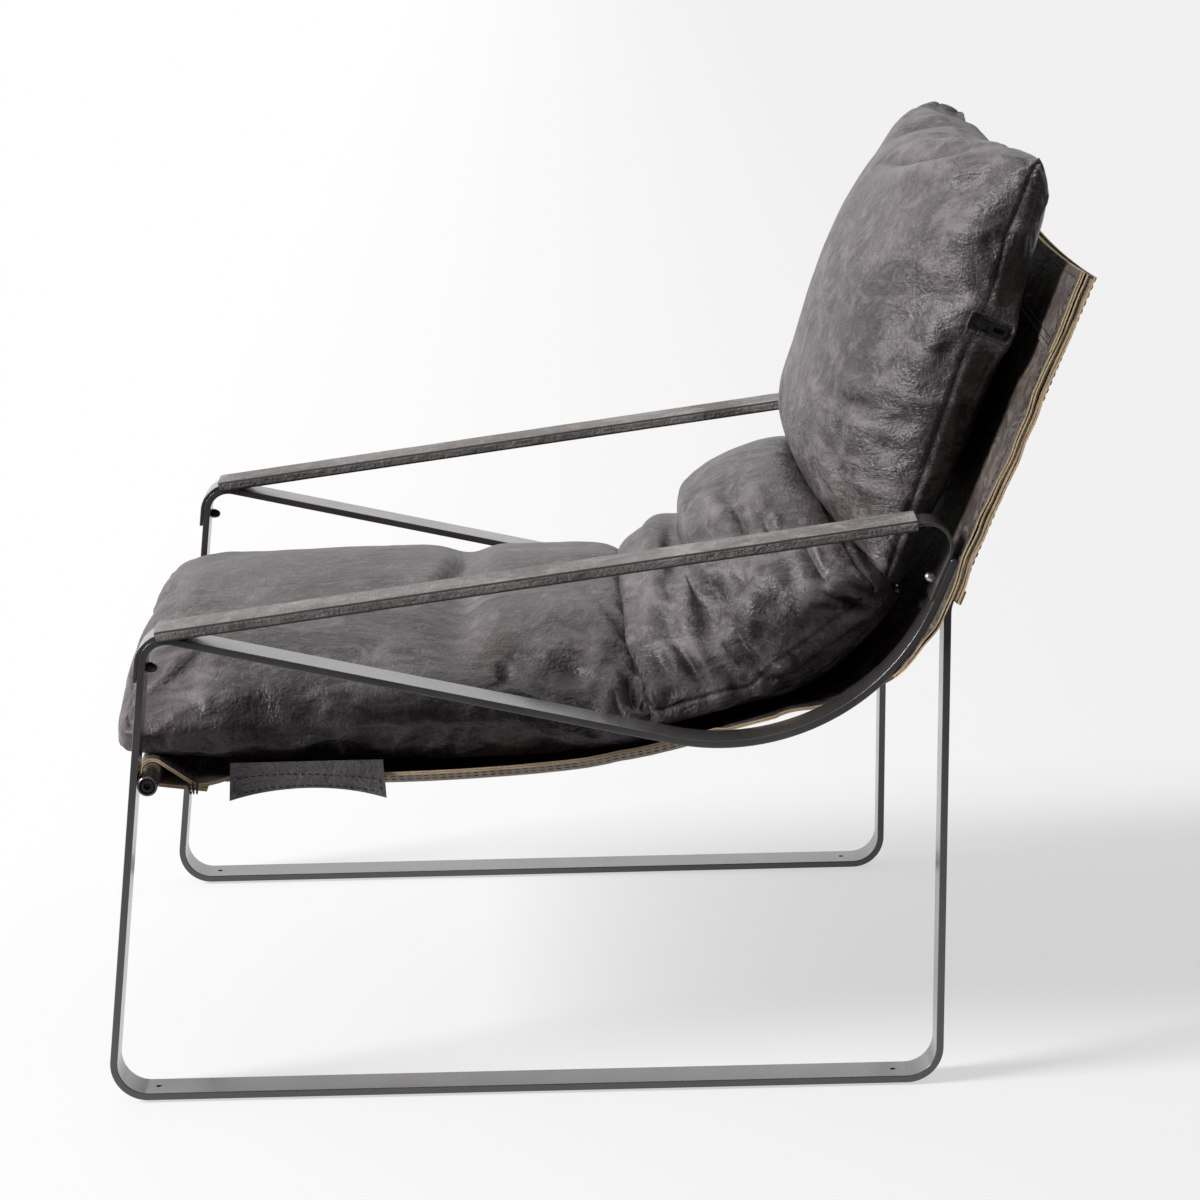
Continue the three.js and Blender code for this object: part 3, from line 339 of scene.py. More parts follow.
# A section ring, with its corners rounded, for bars that are swept along a path
def sectionRing(bm, width, thickness, edge, segments):
    corners = []
    for sx, sz in ((1, 1), (-1, 1), (-1, -1), (1, -1)):
        corners.append(bm.verts.new((sx * width / 2, 0, sz * thickness / 2)))
    face = bm.faces.new(corners)
    bmesh.ops.bevel(bm, geom=list(face.verts), offset=edge, affect="VERTICES",
                    segments=segments, profile=0.5, material=-1)
    bm.faces.ensure_lookup_table()
    return bm.faces[0]


def stationFrame(station, x, scale=(1, 1)):
    point, left, run = station
    onward = -leftOf(left)
    return Matrix((
        (scale[0], 0, 0, x),
        (0, onward.x, left.x * scale[1], point.x + shiftY),
        (0, onward.y, left.y * scale[1], point.y + shiftZ),
        (0, 0, 0, 1),
    ))


# A bar swept through the stations by extruding its section, in mm until the end
def sweptBar(path, x, width, thickness, edge, scales=None, segments=3):
    bm = bmesh.new()
    face = sectionRing(bm, width, thickness, edge, segments)
    scales = scales or [(1, 1)] * len(path)
    before = stationFrame(path[0], x, scales[0])
    bmesh.ops.transform(bm, matrix=before, verts=bm.verts)
    for station, scale in zip(path[1:], scales[1:]):
        moved = bmesh.ops.extrude_face_region(bm, geom=[face])["geom"]
        here = stationFrame(station, x, scale)
        bmesh.ops.transform(bm, matrix=here @ before.inverted(),
                            verts=[v for v in moved if isinstance(v, bmesh.types.BMVert)])
        face = [f for f in moved if isinstance(f, bmesh.types.BMFace)][0]
        before = here
    toMetres(bm)
    return bm


# A profile of (radius, height) pairs turned about an axis
def turnedShape(bm, profile, origin, axis, steps):
    before = set(bm.verts)
    new = [bm.verts.new((radius, 0, height)) for radius, height in profile]
    edges = [bm.edges.new(pair) for pair in zip(new, new[1:])]
    bmesh.ops.spin(bm, geom=new + edges, cent=(0, 0, 0), axis=(0, 0, 1), dvec=(0, 0, 0),
                   angle=2 * math.pi, steps=steps, use_merge=True, use_duplicate=False)
    part = [v for v in bm.verts if v not in before]
    bmesh.ops.remove_doubles(bm, verts=part, dist=1e-4)
    part = [v for v in part if v.is_valid]
    turn = Vector((0, 0, 1)).rotation_difference(Vector(axis)).to_matrix().to_4x4()
    bmesh.ops.transform(bm, matrix=Matrix.Translation(origin) @ turn, verts=part)


def toMetres(bm):
    bmesh.ops.scale(bm, vec=(0.001, 0.001, 0.001), verts=bm.verts)


def millimetres(x, p):
    return Vector((x, p.x + shiftY, p.y + shiftZ))


# ---- numbers as arrays, for the sheets and the cushions ----
def eased(value, low, high):
    share = np.clip((value - low) / (high - low), 0, 1)
    return share * share * (3 - 2 * share)


def dome(share, power):
    return np.power(np.maximum(0, 1 - share * share), power)


def ridge(value, middle, run):
    return np.exp(-(((value - middle) / run) ** 2))


# Smooth noise at each point, from -1 to 1
def noiseAt(points, scale, seed):
    offset = Vector((seed * 7.3, seed * 3.1, seed * 5.7))
    return np.array([noise.noise(Vector(p) * scale + offset) for p in points])


# ---- materials ----
def newMaterial(name, colour, roughness, specular, metallic=0.0):
    material = bpy.data.materials.new(name)
    material.use_nodes = True
    tree = material.node_tree
    shader = tree.nodes["Principled BSDF"]
    shader.inputs["Base Color"].default_value = (*colour, 1)
    shader.inputs["Roughness"].default_value = roughness
    shader.inputs["Specular IOR Level"].default_value = specular
    shader.inputs["Metallic"].default_value = metallic
    return material, tree, shader


def addNode(tree, kind, inputs=None, **settings):
    made = tree.nodes.new("ShaderNode" + kind)
    for key, value in settings.items():
        setattr(made, key, value)
    for key, value in (inputs or {}).items():
        if isinstance(value, bpy.types.NodeSocket):
            tree.links.new(value, made.inputs[key])
        else:
            made.inputs[key].default_value = value
    return made


def maths(tree, operation, first, second=0.5):
    return addNode(tree, "Math", {0: first, 1: second}, operation=operation).outputs[0]


def spread(tree, value, low, high, outLow=0.0, outHigh=1.0):
    made = addNode(tree, "MapRange", {0: value, 1: low, 2: high, 3: outLow, 4: outHigh},
                   interpolation_type="SMOOTHSTEP")
    return made.outputs[0]


def blendColour(tree, factor, first, second, mode="MIX"):
    made = tree.nodes.new("ShaderNodeMix")
    made.data_type = "RGBA"
    made.blend_type = mode
    for socket, value in ((made.inputs[0], factor), (made.inputs[6], first),
                          (made.inputs[7], second)):
        if isinstance(value, bpy.types.NodeSocket):
            tree.links.new(value, socket)
        elif isinstance(value, (int, float)):
            socket.default_value = value
        else:
            socket.default_value = (*value, 1)
    return made.outputs[2]


def objectPoint(tree):
    return addNode(tree, "TexCoord").outputs["Object"]


def mapped(tree, point, scale, turn):
    inputs = {"Vector": point, "Scale": scale, "Rotation": turn}
    return addNode(tree, "Mapping", inputs).outputs[0]


def cloudy(tree, point, scale, detail, roughness=0.5, distortion=0.0):
    made = addNode(tree, "TexNoise", {"Vector": point, "Scale": scale, "Detail": detail,
                                      "Roughness": roughness, "Distortion": distortion})
    return made.outputs[0]


# Thin lines where a noise crosses its middle, as leather creases
def creaseLines(tree, point, scale, width, detail, distortion):
    value = cloudy(tree, point, scale, detail, 0.5, distortion)
    away = maths(tree, "ABSOLUTE", maths(tree, "SUBTRACT", value, 0.5))
    return spread(tree, away, 0.0, width, 1.0, 0.0)


def bumps(tree, shader, layers):
    normal = None
    for height, distance, strength in layers:
        inputs = {"Height": height, "Distance": distance, "Strength": strength}
        if normal:
            inputs["Normal"] = normal
        normal = addNode(tree, "Bump", inputs).outputs[0]
    tree.links.new(normal, shader.inputs["Normal"])


leatherLook = {
    "base": (0.063, 0.0520, 0.0570), "dark": (0.027, 0.0215, 0.0232),
    "brown": (0.062, 0.0445, 0.0415), "pale": (0.215, 0.188, 0.197),
    "roughness": (0.36, 0.54), "grain": 380.0, "crease": 13.0, "fineCrease": 46.0,
    "specular": 0.42, "scuff": 0.55,
}


# Pull-up leather: cloudy colour in soft streaks, pale scuffs along its creases, pebbled grain
def leatherMaterial(name, look=None, wearAndPaintedLight=True):
    look = {**leatherLook, **(look or {})}
    material, tree, shader = newMaterial(name, look["base"], 0.5, look["specular"])
    point = objectPoint(tree)
    drift = addNode(tree, "TexNoise", {"Vector": point, "Scale": 7.0, "Detail": 3.0})
    warped = addNode(tree, "Mix", {0: 0.06, 4: point, 5: drift.outputs["Color"]},
                     data_type="VECTOR").outputs[1]
    long = mapped(tree, warped, (1.0, 0.5, 2.2), (0.6, 0.2, 0.3))
    blotch = cloudy(tree, warped, 5.0, 6.0, 0.62, 0.3)
    streak = cloudy(tree, long, 22.0, 6.0, 0.68, 0.5)
    rub = cloudy(tree, mapped(tree, warped, (1.0, 1.9, 0.6), (-0.5, 0.1, 0.2)),
                 34.0, 5.0, 0.7, 0.4)
    fine = cloudy(tree, point, 130.0, 5.0, 0.72)
    crease = creaseLines(tree, long, look["crease"], 0.012, 4.0, 0.3)
    hair = creaseLines(tree, warped, look["fineCrease"], 0.03, 4.0, 0.2)
    patch = spread(tree, cloudy(tree, point, 9.0, 4.0), 0.42, 0.62)
    scratch = creaseLines(tree, mapped(tree, warped, (1.0, 2.4, 0.8), (0.9, 0.0, 0.2)),
                          30.0, 0.02, 5.0, 0.5)
    colour = blendColour(tree, spread(tree, blotch, 0.42, 0.58), look["dark"], look["base"])
    colour = blendColour(tree, spread(tree, cloudy(tree, point, 3.4, 4.0, 0.6, 0.4), 0.45, 0.65,
                                      0.0, 0.6), colour, look["brown"])
    scuff = maths(tree, "MAXIMUM", spread(tree, streak, 0.47, 0.66),
                  spread(tree, rub, 0.52, 0.70, 0.0, 0.8))
    colour = blendColour(tree, maths(tree, "MULTIPLY", scuff, look["scuff"]), colour,
                         look["pale"])
    lines = maths(tree, "MULTIPLY", maths(tree, "MAXIMUM", hair, scratch), patch)
    colour = blendColour(tree, maths(tree, "MULTIPLY", lines, 0.28), colour, look["pale"])
    colour = blendColour(tree, spread(tree, fine, 0.48, 0.72, 0.0, 0.28), colour, look["pale"])
    if wearAndPaintedLight:
        # pale marks on fold crests and crease swells, partly rubbed wear and partly painted
        # highlight
        wearAndHighlight = addNode(tree, "Attribute", attribute_name="wearAndHighlight").outputs["Fac"]
        wearAndHighlight = maths(tree, "MULTIPLY", wearAndHighlight, spread(tree, fine, 0.3, 0.7, 0.3, 1.0))
        colour = blendColour(tree, wearAndHighlight, colour, look["pale"])
        # painted shade: the cushions' creases and seam grooves are darkened in the colour
        shade = addNode(tree, "Attribute", attribute_name="fold").outputs["Fac"]
        colour = blendColour(tree, shade, colour, tuple(c * 0.35 for c in look["dark"]))
    tree.links.new(colour, shader.inputs["Base Color"])
    rough = spread(tree, streak, 0.3, 0.75, *look["roughness"])
    tree.links.new(rough, shader.inputs["Roughness"])
    pebbles = addNode(tree, "TexVoronoi", {"Vector": point, "Scale": look["grain"]},
                      feature="SMOOTH_F1").outputs["Distance"]
    bumps(tree, shader, [
        (blotch, 0.018, 0.5),
        (streak, 0.0055, 0.5),
        (maths(tree, "MULTIPLY", crease, -1.0), 0.0008, 0.5),
        (maths(tree, "MULTIPLY", lines, -1.0), 0.0004, 0.5),
        (fine, 0.0015, 0.5),
        (pebbles, 0.0010, 0.5),
    ])
    return material


# Steel under a dark satin coat, which shines where it is seen along its face
def steelMaterial():
    material, tree, shader = newMaterial("satinSteel", (0.045, 0.043, 0.042), 0.3, 0.75)
    point = objectPoint(tree)
    cloud = cloudy(tree, point, 14.0, 5.0, 0.62)
    grain = cloudy(tree, point, 900.0, 3.0, 0.6)
    speck = cloudy(tree, point, 520.0, 2.0)
    colour = blendColour(tree, spread(tree, cloud, 0.3, 0.7), (0.038, 0.0365, 0.0355),
                         (0.053, 0.051, 0.050))
    colour = blendColour(tree, spread(tree, speck, 0.62, 0.74, 0.0, 0.35), colour,
                         (0.10, 0.097, 0.094))
    tree.links.new(colour, shader.inputs["Base Color"])
    tree.links.new(spread(tree, cloud, 0.3, 0.7, 0.24, 0.33), shader.inputs["Roughness"])
    shader.inputs["Coat Weight"].default_value = 0.55
    shader.inputs["Coat Roughness"].default_value = 0.16
    bumps(tree, shader, [(grain, 0.00006, 0.3)])
    return material


def metalMaterial(name, colour, roughness, scale=260.0, metallic=1.0):
    material, tree, shader = newMaterial(name, colour, roughness, 0.5, metallic)
    point = objectPoint(tree)
    cloud = cloudy(tree, point, scale, 3.0, 0.6)
    dark = tuple(c * 0.72 for c in colour)
    tree.links.new(blendColour(tree, spread(tree, cloud, 0.3, 0.7), dark, colour),
                   shader.inputs["Base Color"])
    tree.links.new(spread(tree, cloud, 0.3, 0.7, roughness * 0.8, roughness * 1.25),
                   shader.inputs["Roughness"])
    bumps(tree, shader, [(cloud, 0.00005, 0.3)])
    return material


def rawEdgeMaterial(name, colour, pale):
    material, tree, shader = newMaterial(name, colour, 0.85, 0.25)
    point = objectPoint(tree)
    fibre = cloudy(tree, point, 420.0, 4.0, 0.7)
    cloud = cloudy(tree, point, 40.0, 3.0)
    tone = blendColour(tree, spread(tree, fibre, 0.3, 0.7), colour, pale)
    dark = tuple(c * 0.45 for c in colour)
    tone = blendColour(tree, spread(tree, cloud, 0.52, 0.75, 0.0, 0.45), tone, dark)
    tree.links.new(tone, shader.inputs["Base Color"])
    bumps(tree, shader, [(fibre, 0.0004, 0.6)])
    return material


def clothMaterial(name, colour, scale):
    material, tree, shader = newMaterial(name, colour, 0.9, 0.2)
    point = objectPoint(tree)
    weave = addNode(tree, "TexWave", {"Vector": point, "Scale": scale, "Distortion": 0.4},
                    bands_direction="Z").outputs["Fac"]
    tone = blendColour(tree, weave, tuple(c * 0.5 for c in colour), colour)
    tree.links.new(tone, shader.inputs["Base Color"])
    bumps(tree, shader, [(weave, 0.0002, 0.6)])
    return material


print("materials")
materials = {
    "steel": steelMaterial(),
    "blackSteel": metalMaterial("blackenedSteel", (0.035, 0.034, 0.033), 0.42, 300.0, 0.6),
    "zinc": metalMaterial("zincSteel", (0.55, 0.55, 0.54), 0.3),
    "nylon": metalMaterial("nylonBlack", (0.015, 0.015, 0.015), 0.6, 500.0, 0.0),
    "leather": leatherMaterial("cushionLeather"),
    "slingLeather": leatherMaterial("slingLeather", {
        "base": (0.082, 0.067, 0.061), "dark": (0.034, 0.027, 0.025),
        "brown": (0.080, 0.060, 0.049), "pale": (0.24, 0.205, 0.185),
    }),
    "tabLeather": leatherMaterial("tabLeather", {
        "base": (0.165, 0.148, 0.158), "dark": (0.11, 0.098, 0.106),
        "brown": (0.15, 0.125, 0.125), "pale": (0.28, 0.262, 0.27),
    }, wearAndPaintedLight=False),
    "armLeather": leatherMaterial("armLeather", {
        "base": (0.185, 0.174, 0.170), "dark": (0.115, 0.105, 0.101),
        "brown": (0.16, 0.14, 0.13), "pale": (0.40, 0.38, 0.365),
        "crease": 30.0, "roughness": (0.6, 0.78),
    }),
    "suede": rawEdgeMaterial("suede", (0.50, 0.43, 0.35), (0.66, 0.58, 0.49)),
    "rawEdge": rawEdgeMaterial("rawEdge", (0.80, 0.55, 0.30), (0.98, 0.80, 0.53)),
    "welt": rawEdgeMaterial("welt", (0.46, 0.38, 0.29), (0.78, 0.67, 0.53)),
    "thread": metalMaterial("waxedThread", (0.02, 0.018, 0.017), 0.55, 900.0, 0.0),
    "zipTape": clothMaterial("zipTape", (0.014, 0.013, 0.013), 1200.0),
    "zipMetal": metalMaterial("zipMetal", (0.06, 0.058, 0.055), 0.35, 500.0, 0.8),
}

# ---- stitches: small thread loops laid along a line of points in metres ----
stitchData = {"length": 5.2, "gap": 2.0, "thread": 0.5}


def stitchRow(bm, points, scale):
    length, space = stitchData["length"] * scale * 0.001, stitchData["gap"] * scale * 0.001
    runs = [0]
    for here, there in zip(points, points[1:]):
        runs.append(runs[-1] + (there - here).length)
    start = space
    k = 0
    while start + length < runs[-1]:
        middle = start + length / 2
        while runs[k + 1] < middle:
            k += 1
        share = (middle - runs[k]) / (runs[k + 1] - runs[k])
        centre = points[k].lerp(points[k + 1], share)
        way = points[k + 1] - points[k]
        turn = way.to_track_quat("X", "Z").to_matrix().to_4x4()
        thick = stitchData["thread"] * scale * 0.001
        size = Matrix.Diagonal((length / 2, thick, thick, 1))
        bmesh.ops.create_uvsphere(bm, u_segments=6, v_segments=4, radius=1,
                                  matrix=Matrix.Translation(centre) @ turn @ size)
        start += length + space


def stitching(name, rows, scale=1.0):
    bm = bmesh.new()
    for row in rows:
        stitchRow(bm, row, scale)
    return finishMesh(bm, name, [materials["thread"]], recalc=False)


# ---- side frames ----
frameBar = {"arcStep": 2.5, "segments": 3, "endSteps": 6, "holeFront": 43.3, "holeRear": 42.2,
            "hole": 5.0, "drillHalf": 9}


# The rail's rear end is a half round, made by narrowing the bar over its last half width
def roundEnd(end):
    extra = []
    for k in range(frameBar["endSteps"], 0, -1):
        angle = math.pi / 2 * k / frameBar["endSteps"] * 0.98
        onward = leftOf(end[1]) * barHalf * math.sin(angle)
        extra.append(((end[0] + onward, end[1], end[2]), (1, math.cos(angle))))
    return extra


def sideFrame(side):
    path = roundedPath([
        (railEnd, 0), (valleyCorner, valleyRadius), (topLineCorner, chair["topRadius"]),
        (frontFoot, chair["footRadius"]), (rearFoot, chair["footRadius"]),
        (uprightBend, chair["uprightBendRadius"]), (uprightEnd, 0),
    ], 60, frameBar["arcStep"] * degree)
    extra = roundEnd(path[0])
    stations = [station for station, scale in extra] + path
    scales = [scale for station, scale in extra] + [(1, 1)] * len(path)
    x = sides[side] * sideX
    bm = sweptBar(stations, x, chair["barWidth"], chair["bar"], chair["barEdge"], scales,
                  frameBar["segments"])
    name = "sideFrame" + side.capitalize()
    piece = finishMesh(bm, name, [materials["steel"]], smooth=50)
    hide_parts("side_frame_" + side)
    drill = bmesh.new()
    for y in (frameBar["holeFront"], chair["baseDepth"] - frameBar["holeRear"]):
        radius, half = frameBar["hole"] / 2, frameBar["drillHalf"]
        turnedShape(drill, [(0, -half), (radius, -half), (radius, half), (0, half)],
                    millimetres(x, at(y, barHalf)), (0, 0, 1), 24)
    toMetres(drill)
    bmesh.ops.recalc_face_normals(drill, faces=drill.faces)
    cutter = linked("drill", meshFrom(drill, "drill"))
    modifier = piece.modifiers.new("holes", "BOOLEAN")
    modifier.object = cutter
    modifier.solver = "EXACT"
    applyModifiers(piece)
    bpy.data.objects.remove(cutter)
    evenShading(piece)


print("side frames")
for side in sides:
    sideFrame(side)

# ---- arms: the strip, and the leather sleeve with its side seams ----
armData = {"sleeveLeather": 1.9, "frontLap": 5.0, "rearStop": 6.0, "seamGroove": 0.9,
           "seamHalf": 0.7}


def armStrip(side):
    path = roundedPath(armCorners, 60, 4 * degree)
    x = sides[side] * sideX
    bm = sweptBar(path, x, chair["barWidth"], chair["armStrip"], 0.6)
    piece = finishMesh(bm, "armStrip" + side.capitalize(), [materials["steel"]],
                       smooth=50)
    evenShading(piece)
    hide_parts("arm_strip_" + side)


def sleevePath():
    path = roundedPath(armCorners, 14, 4 * degree)
    level = [s[2] for s in path if (s[1] - leftOf(armBack)).length < 1e-4]
    return stretch(path, level[0] - armData["frontLap"], level[-1] - armData["rearStop"])


# The sleeve's section: a flat oval, notched along both sides where its two leathers meet
def sleeveSection():
    halfWide = chair["barWidth"] / 2 + gap + armData["sleeveLeather"]
    half = stripHalf + gap + armData["sleeveLeather"]
    notch, seam = armData["seamGroove"], armData["seamHalf"]
    quarter = [(halfWide - notch, 0), (halfWide - notch * 0.8, seam * 0.6),
               (halfWide, seam), (halfWide, seam + 0.8)]
    radius = 1.5
    for k in range(5):
        angle = math.pi / 2 * k / 4
        quarter.append((halfWide - radius + radius * math.cos(angle),
                        half - radius + radius * math.sin(angle)))
    quarter.append((halfWide - 8, half + 0.35))
    upper = quarter + [(-x, z) for x, z in reversed(quarter)]
    lower = [(x, -z) for x, z in reversed(upper)][1:-1]
    return upper + lower


def armSleeve(side):
    path = sleevePath()
    x = sides[side] * sideX
    bm = bmesh.new()
    verts = [bm.verts.new((px, 0, pz)) for px, pz in sleeveSection()]
    edges = [bm.edges.new((a, b)) for a, b in zip(verts, verts[1:] + verts[:1])]
    before = stationFrame(path[0], x)
    bmesh.ops.transform(bm, matrix=before, verts=bm.verts)
    for station in path[1:]:
        moved = bmesh.ops.extrude_edge_only(bm, edges=edges)["geom"]
        here = stationFrame(station, x)
        fresh = {v for v in moved if isinstance(v, bmesh.types.BMVert)}
        bmesh.ops.transform(bm, matrix=here @ before.inverted(), verts=list(fresh))
        edges = [e for e in moved if isinstance(e, bmesh.types.BMEdge)
                 and all(v in fresh for v in e.verts)]
        before = here
    bmesh.ops.recalc_face_normals(bm, faces=bm.faces)
    inSeam = chair["barWidth"] / 2 + gap + armData["sleeveLeather"] - 0.05
    for face in bm.faces:
        reach = [abs(v.co.x - x) for v in face.verts]
        face.material_index = 1 if inSeam - 1 < min(reach) < inSeam - 0.1 else 0
    for vert in bm.verts:
        wave = noise.noise(vert.co * 0.03) * 0.4 + noise.noise(vert.co * 0.12) * 0.2
        vert.co.z += wave * (0.4 if abs(vert.co.x - x) > inSeam - 2 else 1)
    bmesh.ops.solidify(bm, geom=bm.faces, thickness=-1.2)
    toMetres(bm)
    piece = finishMesh(bm, "armSleeve" + side.capitalize(),
                       [materials["armLeather"], materials["thread"]],
                       smooth=60)
    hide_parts("arm_sleeve_" + side)


print("arms")
for side in sides:
    armStrip(side)
    armSleeve(side)

# ---- sling: two plies, a band and the back panel, sewn to a welt outside the uprights ----
slingData = {"columns": 64, "rowStep": 9.0, "edgeCurl": 13.0, "edgeCurlWidth": 26.0,
             "topSag": 10.0, "topSagRun": 70.0, "bandHeight": 72.0, "backPly": 1.9,
             "backFoot": 6.5, "hemHeight": 12.0, "wave": 1.9, "lip": 3.0, "draw": 1.1,
             "weltFrom": 345.5, "weltPly": 2.0, "stitchIn": 8.0, "edgeLift": 12.0, "liftAt": 17.0,
             "liftRun": 9.0, "liftReach": 100.0, "ripple": 3.2, "seatSag": 9.0, "hemStitch": 8.0}
slingSeatHalf = innerX - chair["slingSideGap"]
slingBackHalf = chair["width"] / 2 + chair["slingBackLap"] + slingData["lip"]


def turnAt(station):
    if station[0].x <= valleyCentre.x:
        return 0
    return math.atan2(-station[1].x, station[1].y)


def slingHalf(station):
    turn = turnAt(station)
    widen = eased(turn, chair["widenStart"] * degree, chair["widenEnd"] * degree)
    return slingSeatHalf + (slingBackHalf - slingSeatHalf) * float(widen)


# The edges were cut by hand, so they wander a little
def cutEdge(run, seed, most=0.9):
    point = Vector((seed * 5.1, run * 0.02, seed))
    return most * (noise.noise(point) + 0.5 * noise.noise(point * 3.1))


# The seat part hangs a little below the straight line between its seam and the valley
def seatSag(station):
    if station[2] <= loopRadius * 2 * math.pi:
        return 0
    share = (station[0].x - stitchPoint.x) / (flatStart.x - stitchPoint.x)
    return slingData["seatSag"] * 4 * max(0, share * (1 - share))


def slingCurl(station, u):
    first = stitchPoint.x
    reach = slingData["edgeCurlWidth"]
    inSeat = float(eased(station[0].x, first, first + 2 * reach))
    if station[2] <= loopRadius * 2 * math.pi:
        inSeat = 0
    fade = 1 - float(eased(turnAt(station), 0.2 * degree, chair["slingValleyStart"] * degree))
    edge = float(eased(abs(u), 1 - reach / slingSeatHalf, 1))
    broad = float(eased(abs(u), 1 - slingData["liftReach"] / slingSeatHalf, 1))
    lift = slingData["edgeLift"] * math.exp(-((turnAt(station) / degree - slingData["liftAt"])
                                              / slingData["liftRun"]) ** 2)
    return slingData["edgeCurl"] * inSeat * fade * edge + lift * broad - seatSag(station)


def topEdgeSag(fromTop, u):
    run = slingData["topSagRun"]
    return slingData["topSag"] * (1 - u * u) * float(eased(run - fromTop, 0, run))


# A leather sheet along a path: a grid laid on it, then thickened by extruding it
def leatherSheet(name, path, low, high, across, lift, sag, looks, columns=None, lowLook=0):
    columns = columns or slingData["columns"]
    bm = bmesh.new()
    bmesh.ops.create_grid(bm, x_segments=columns, y_segments=len(path) - 1, size=1)
    under = list(bm.faces)
    made = bmesh.ops.extrude_face_region(bm, geom=under + list(bm.edges) + list(bm.verts),
                                         use_keep_orig=True)["geom"]
    over = {f for f in made if isinstance(f, bmesh.types.BMFace)}
    upper = {v for v in made if isinstance(v, bmesh.types.BMVert)}
    for vert in bm.verts:
        u = math.sin(vert.co.x * math.pi / 2)
        station = path[round((vert.co.y + 1) / 2 * (len(path) - 1))]
        offset = (high if vert in upper else low) + lift(station, u)
        point = station[0] + station[1] * offset + leftOf(station[1]) * sag(station, u)
        vert.co = place(across(station, u), point)
    under = set(under)
    for face in bm.faces:
        face.material_index = lowLook if face in under else 0 if face in over else 1
    return finishMesh(bm, name, looks, smooth=50)


# The plies part in waves along their free edges, and are drawn together outside the uprights
def edgeWave(station, u, seed):
    back = float(eased(turnAt(station), 40 * degree, 60 * degree))
    edge = float(eased(abs(u), 0.93, 1.0))
    value = noise.noise(Vector((seed * 9.1, station[2] * 0.013, u * 2)))
    value += 0.5 * noise.noise(Vector((seed * 4.7, station[2] * 0.05, u * 3)))
    return (value + 0.35) * slingData["wave"] * edge * back


# All plies ripple together where they stand free outside the uprights
def ripple(station, side):
    back = float(eased(turnAt(station), 50 * degree, 62 * degree))
    run = station[0].dot(backUp)
    value = noise.noise(Vector((side * 4.0, run * 0.014, 0))) + 0.5 * noise.noise(
        Vector((side * 6.0, run * 0.045, 3)))
    return slingData["ripple"] * value * back


def drawnIn(station, u):
    back = float(eased(turnAt(station), 50 * degree, 62 * degree))
    drawn = slingData["draw"] * back * float(eased(abs(u), 0.975, 1.0))
    free = chair["width"] / 2 / slingBackHalf
    return drawn - ripple(station, 1 if u > 0 else -1) * float(eased(abs(u), free, 1.0))


def sling():
    path = stretch(roundedPath(slingLine, slingData["rowStep"]), 0, slingRun)
    looks = [materials["slingLeather"], materials["rawEdge"], materials["suede"]]
    sag = lambda s, u: topEdgeSag(slingRun - s[2], u)
    across = lambda seed: lambda s, u: u * (
        slingHalf(s) + cutEdge(s[2], seed * (1 if u > 0 else 2)))
    top = leatherSheet(
        "slingTopPly", path, slingHalfGap, slingHalfGap + ply, across(1),
        lambda s, u: slingCurl(s, u) + abs(edgeWave(s, u, 1)) * 0.6 - drawnIn(s, u), sag, looks)
    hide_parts("sling")
    lining = leatherSheet(
        "slingLining", path, -slingHalfGap - ply, -slingHalfGap, across(2),
        lambda s, u: slingCurl(s, u) - abs(edgeWave(s, u, 2)) * 0.4 - drawnIn(s, u), sag,
        looks, lowLook=2)
    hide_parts("sling_lining")
    bandPath = stretch(path, slingRun - slingData["bandHeight"], slingRun)
    low = slingHalfGap + ply + gap
    bandLift = lambda s, u: abs(edgeWave(s, u, 1)) * 0.6 + abs(edgeWave(s, u, 5)) * 0.4 - drawnIn(
        s, u)
    band = leatherSheet("slingTopBand", bandPath, low, low + ply, across(3), bandLift, sag, looks)
    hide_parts("sling_top_band")
    slingSeams(path)


# A point on the sling, above or below its middle, at a run along it and x across
def onSling(path, run, x, offset):
    station = stationAt(path, run)
    u = x / slingHalf(station)
    lift = slingCurl(station, u) + edgeWave(station, u, 1) * 0.6 - drawnIn(station, u)
    sag = topEdgeSag(slingRun - run, u)
    return place(x, station[0] + station[1] * (offset + lift) + leftOf(station[1]) * sag)


# Where the sling's thread lies: heights over a ply's face, runs between points, and distances
# from the edges
seamLines = {
    "topLift": 0.25, "bandEdgeLift": 0.5, "bandLift": 0.3, "underLift": 0.2, "pitch": 12,
    "bandPitch": 10, "sideStop": 4, "points": 60, "bandRows": (4, 10), "topRow": 7,
    "bandStart": 2, "topStop": 4, "seatStart": 30, "secondRow": 6, "panelLift": 0.3,
}
loopSeam = {
    "apart": 2.2, "ahead": 2, "lift": 0.4, "sideStop": 1, "points": 40, "scale": 1.5,
    "wraps": 3, "wrapPitch": 3.4, "wrapStart": -5.4, "wrapDrop": 1.0, "wrapOut": 0.5,
    "wrapSize": (0.0011, 0.0011, 0.0058), "firstLean": 0.16, "leanStep": 0.1,
}


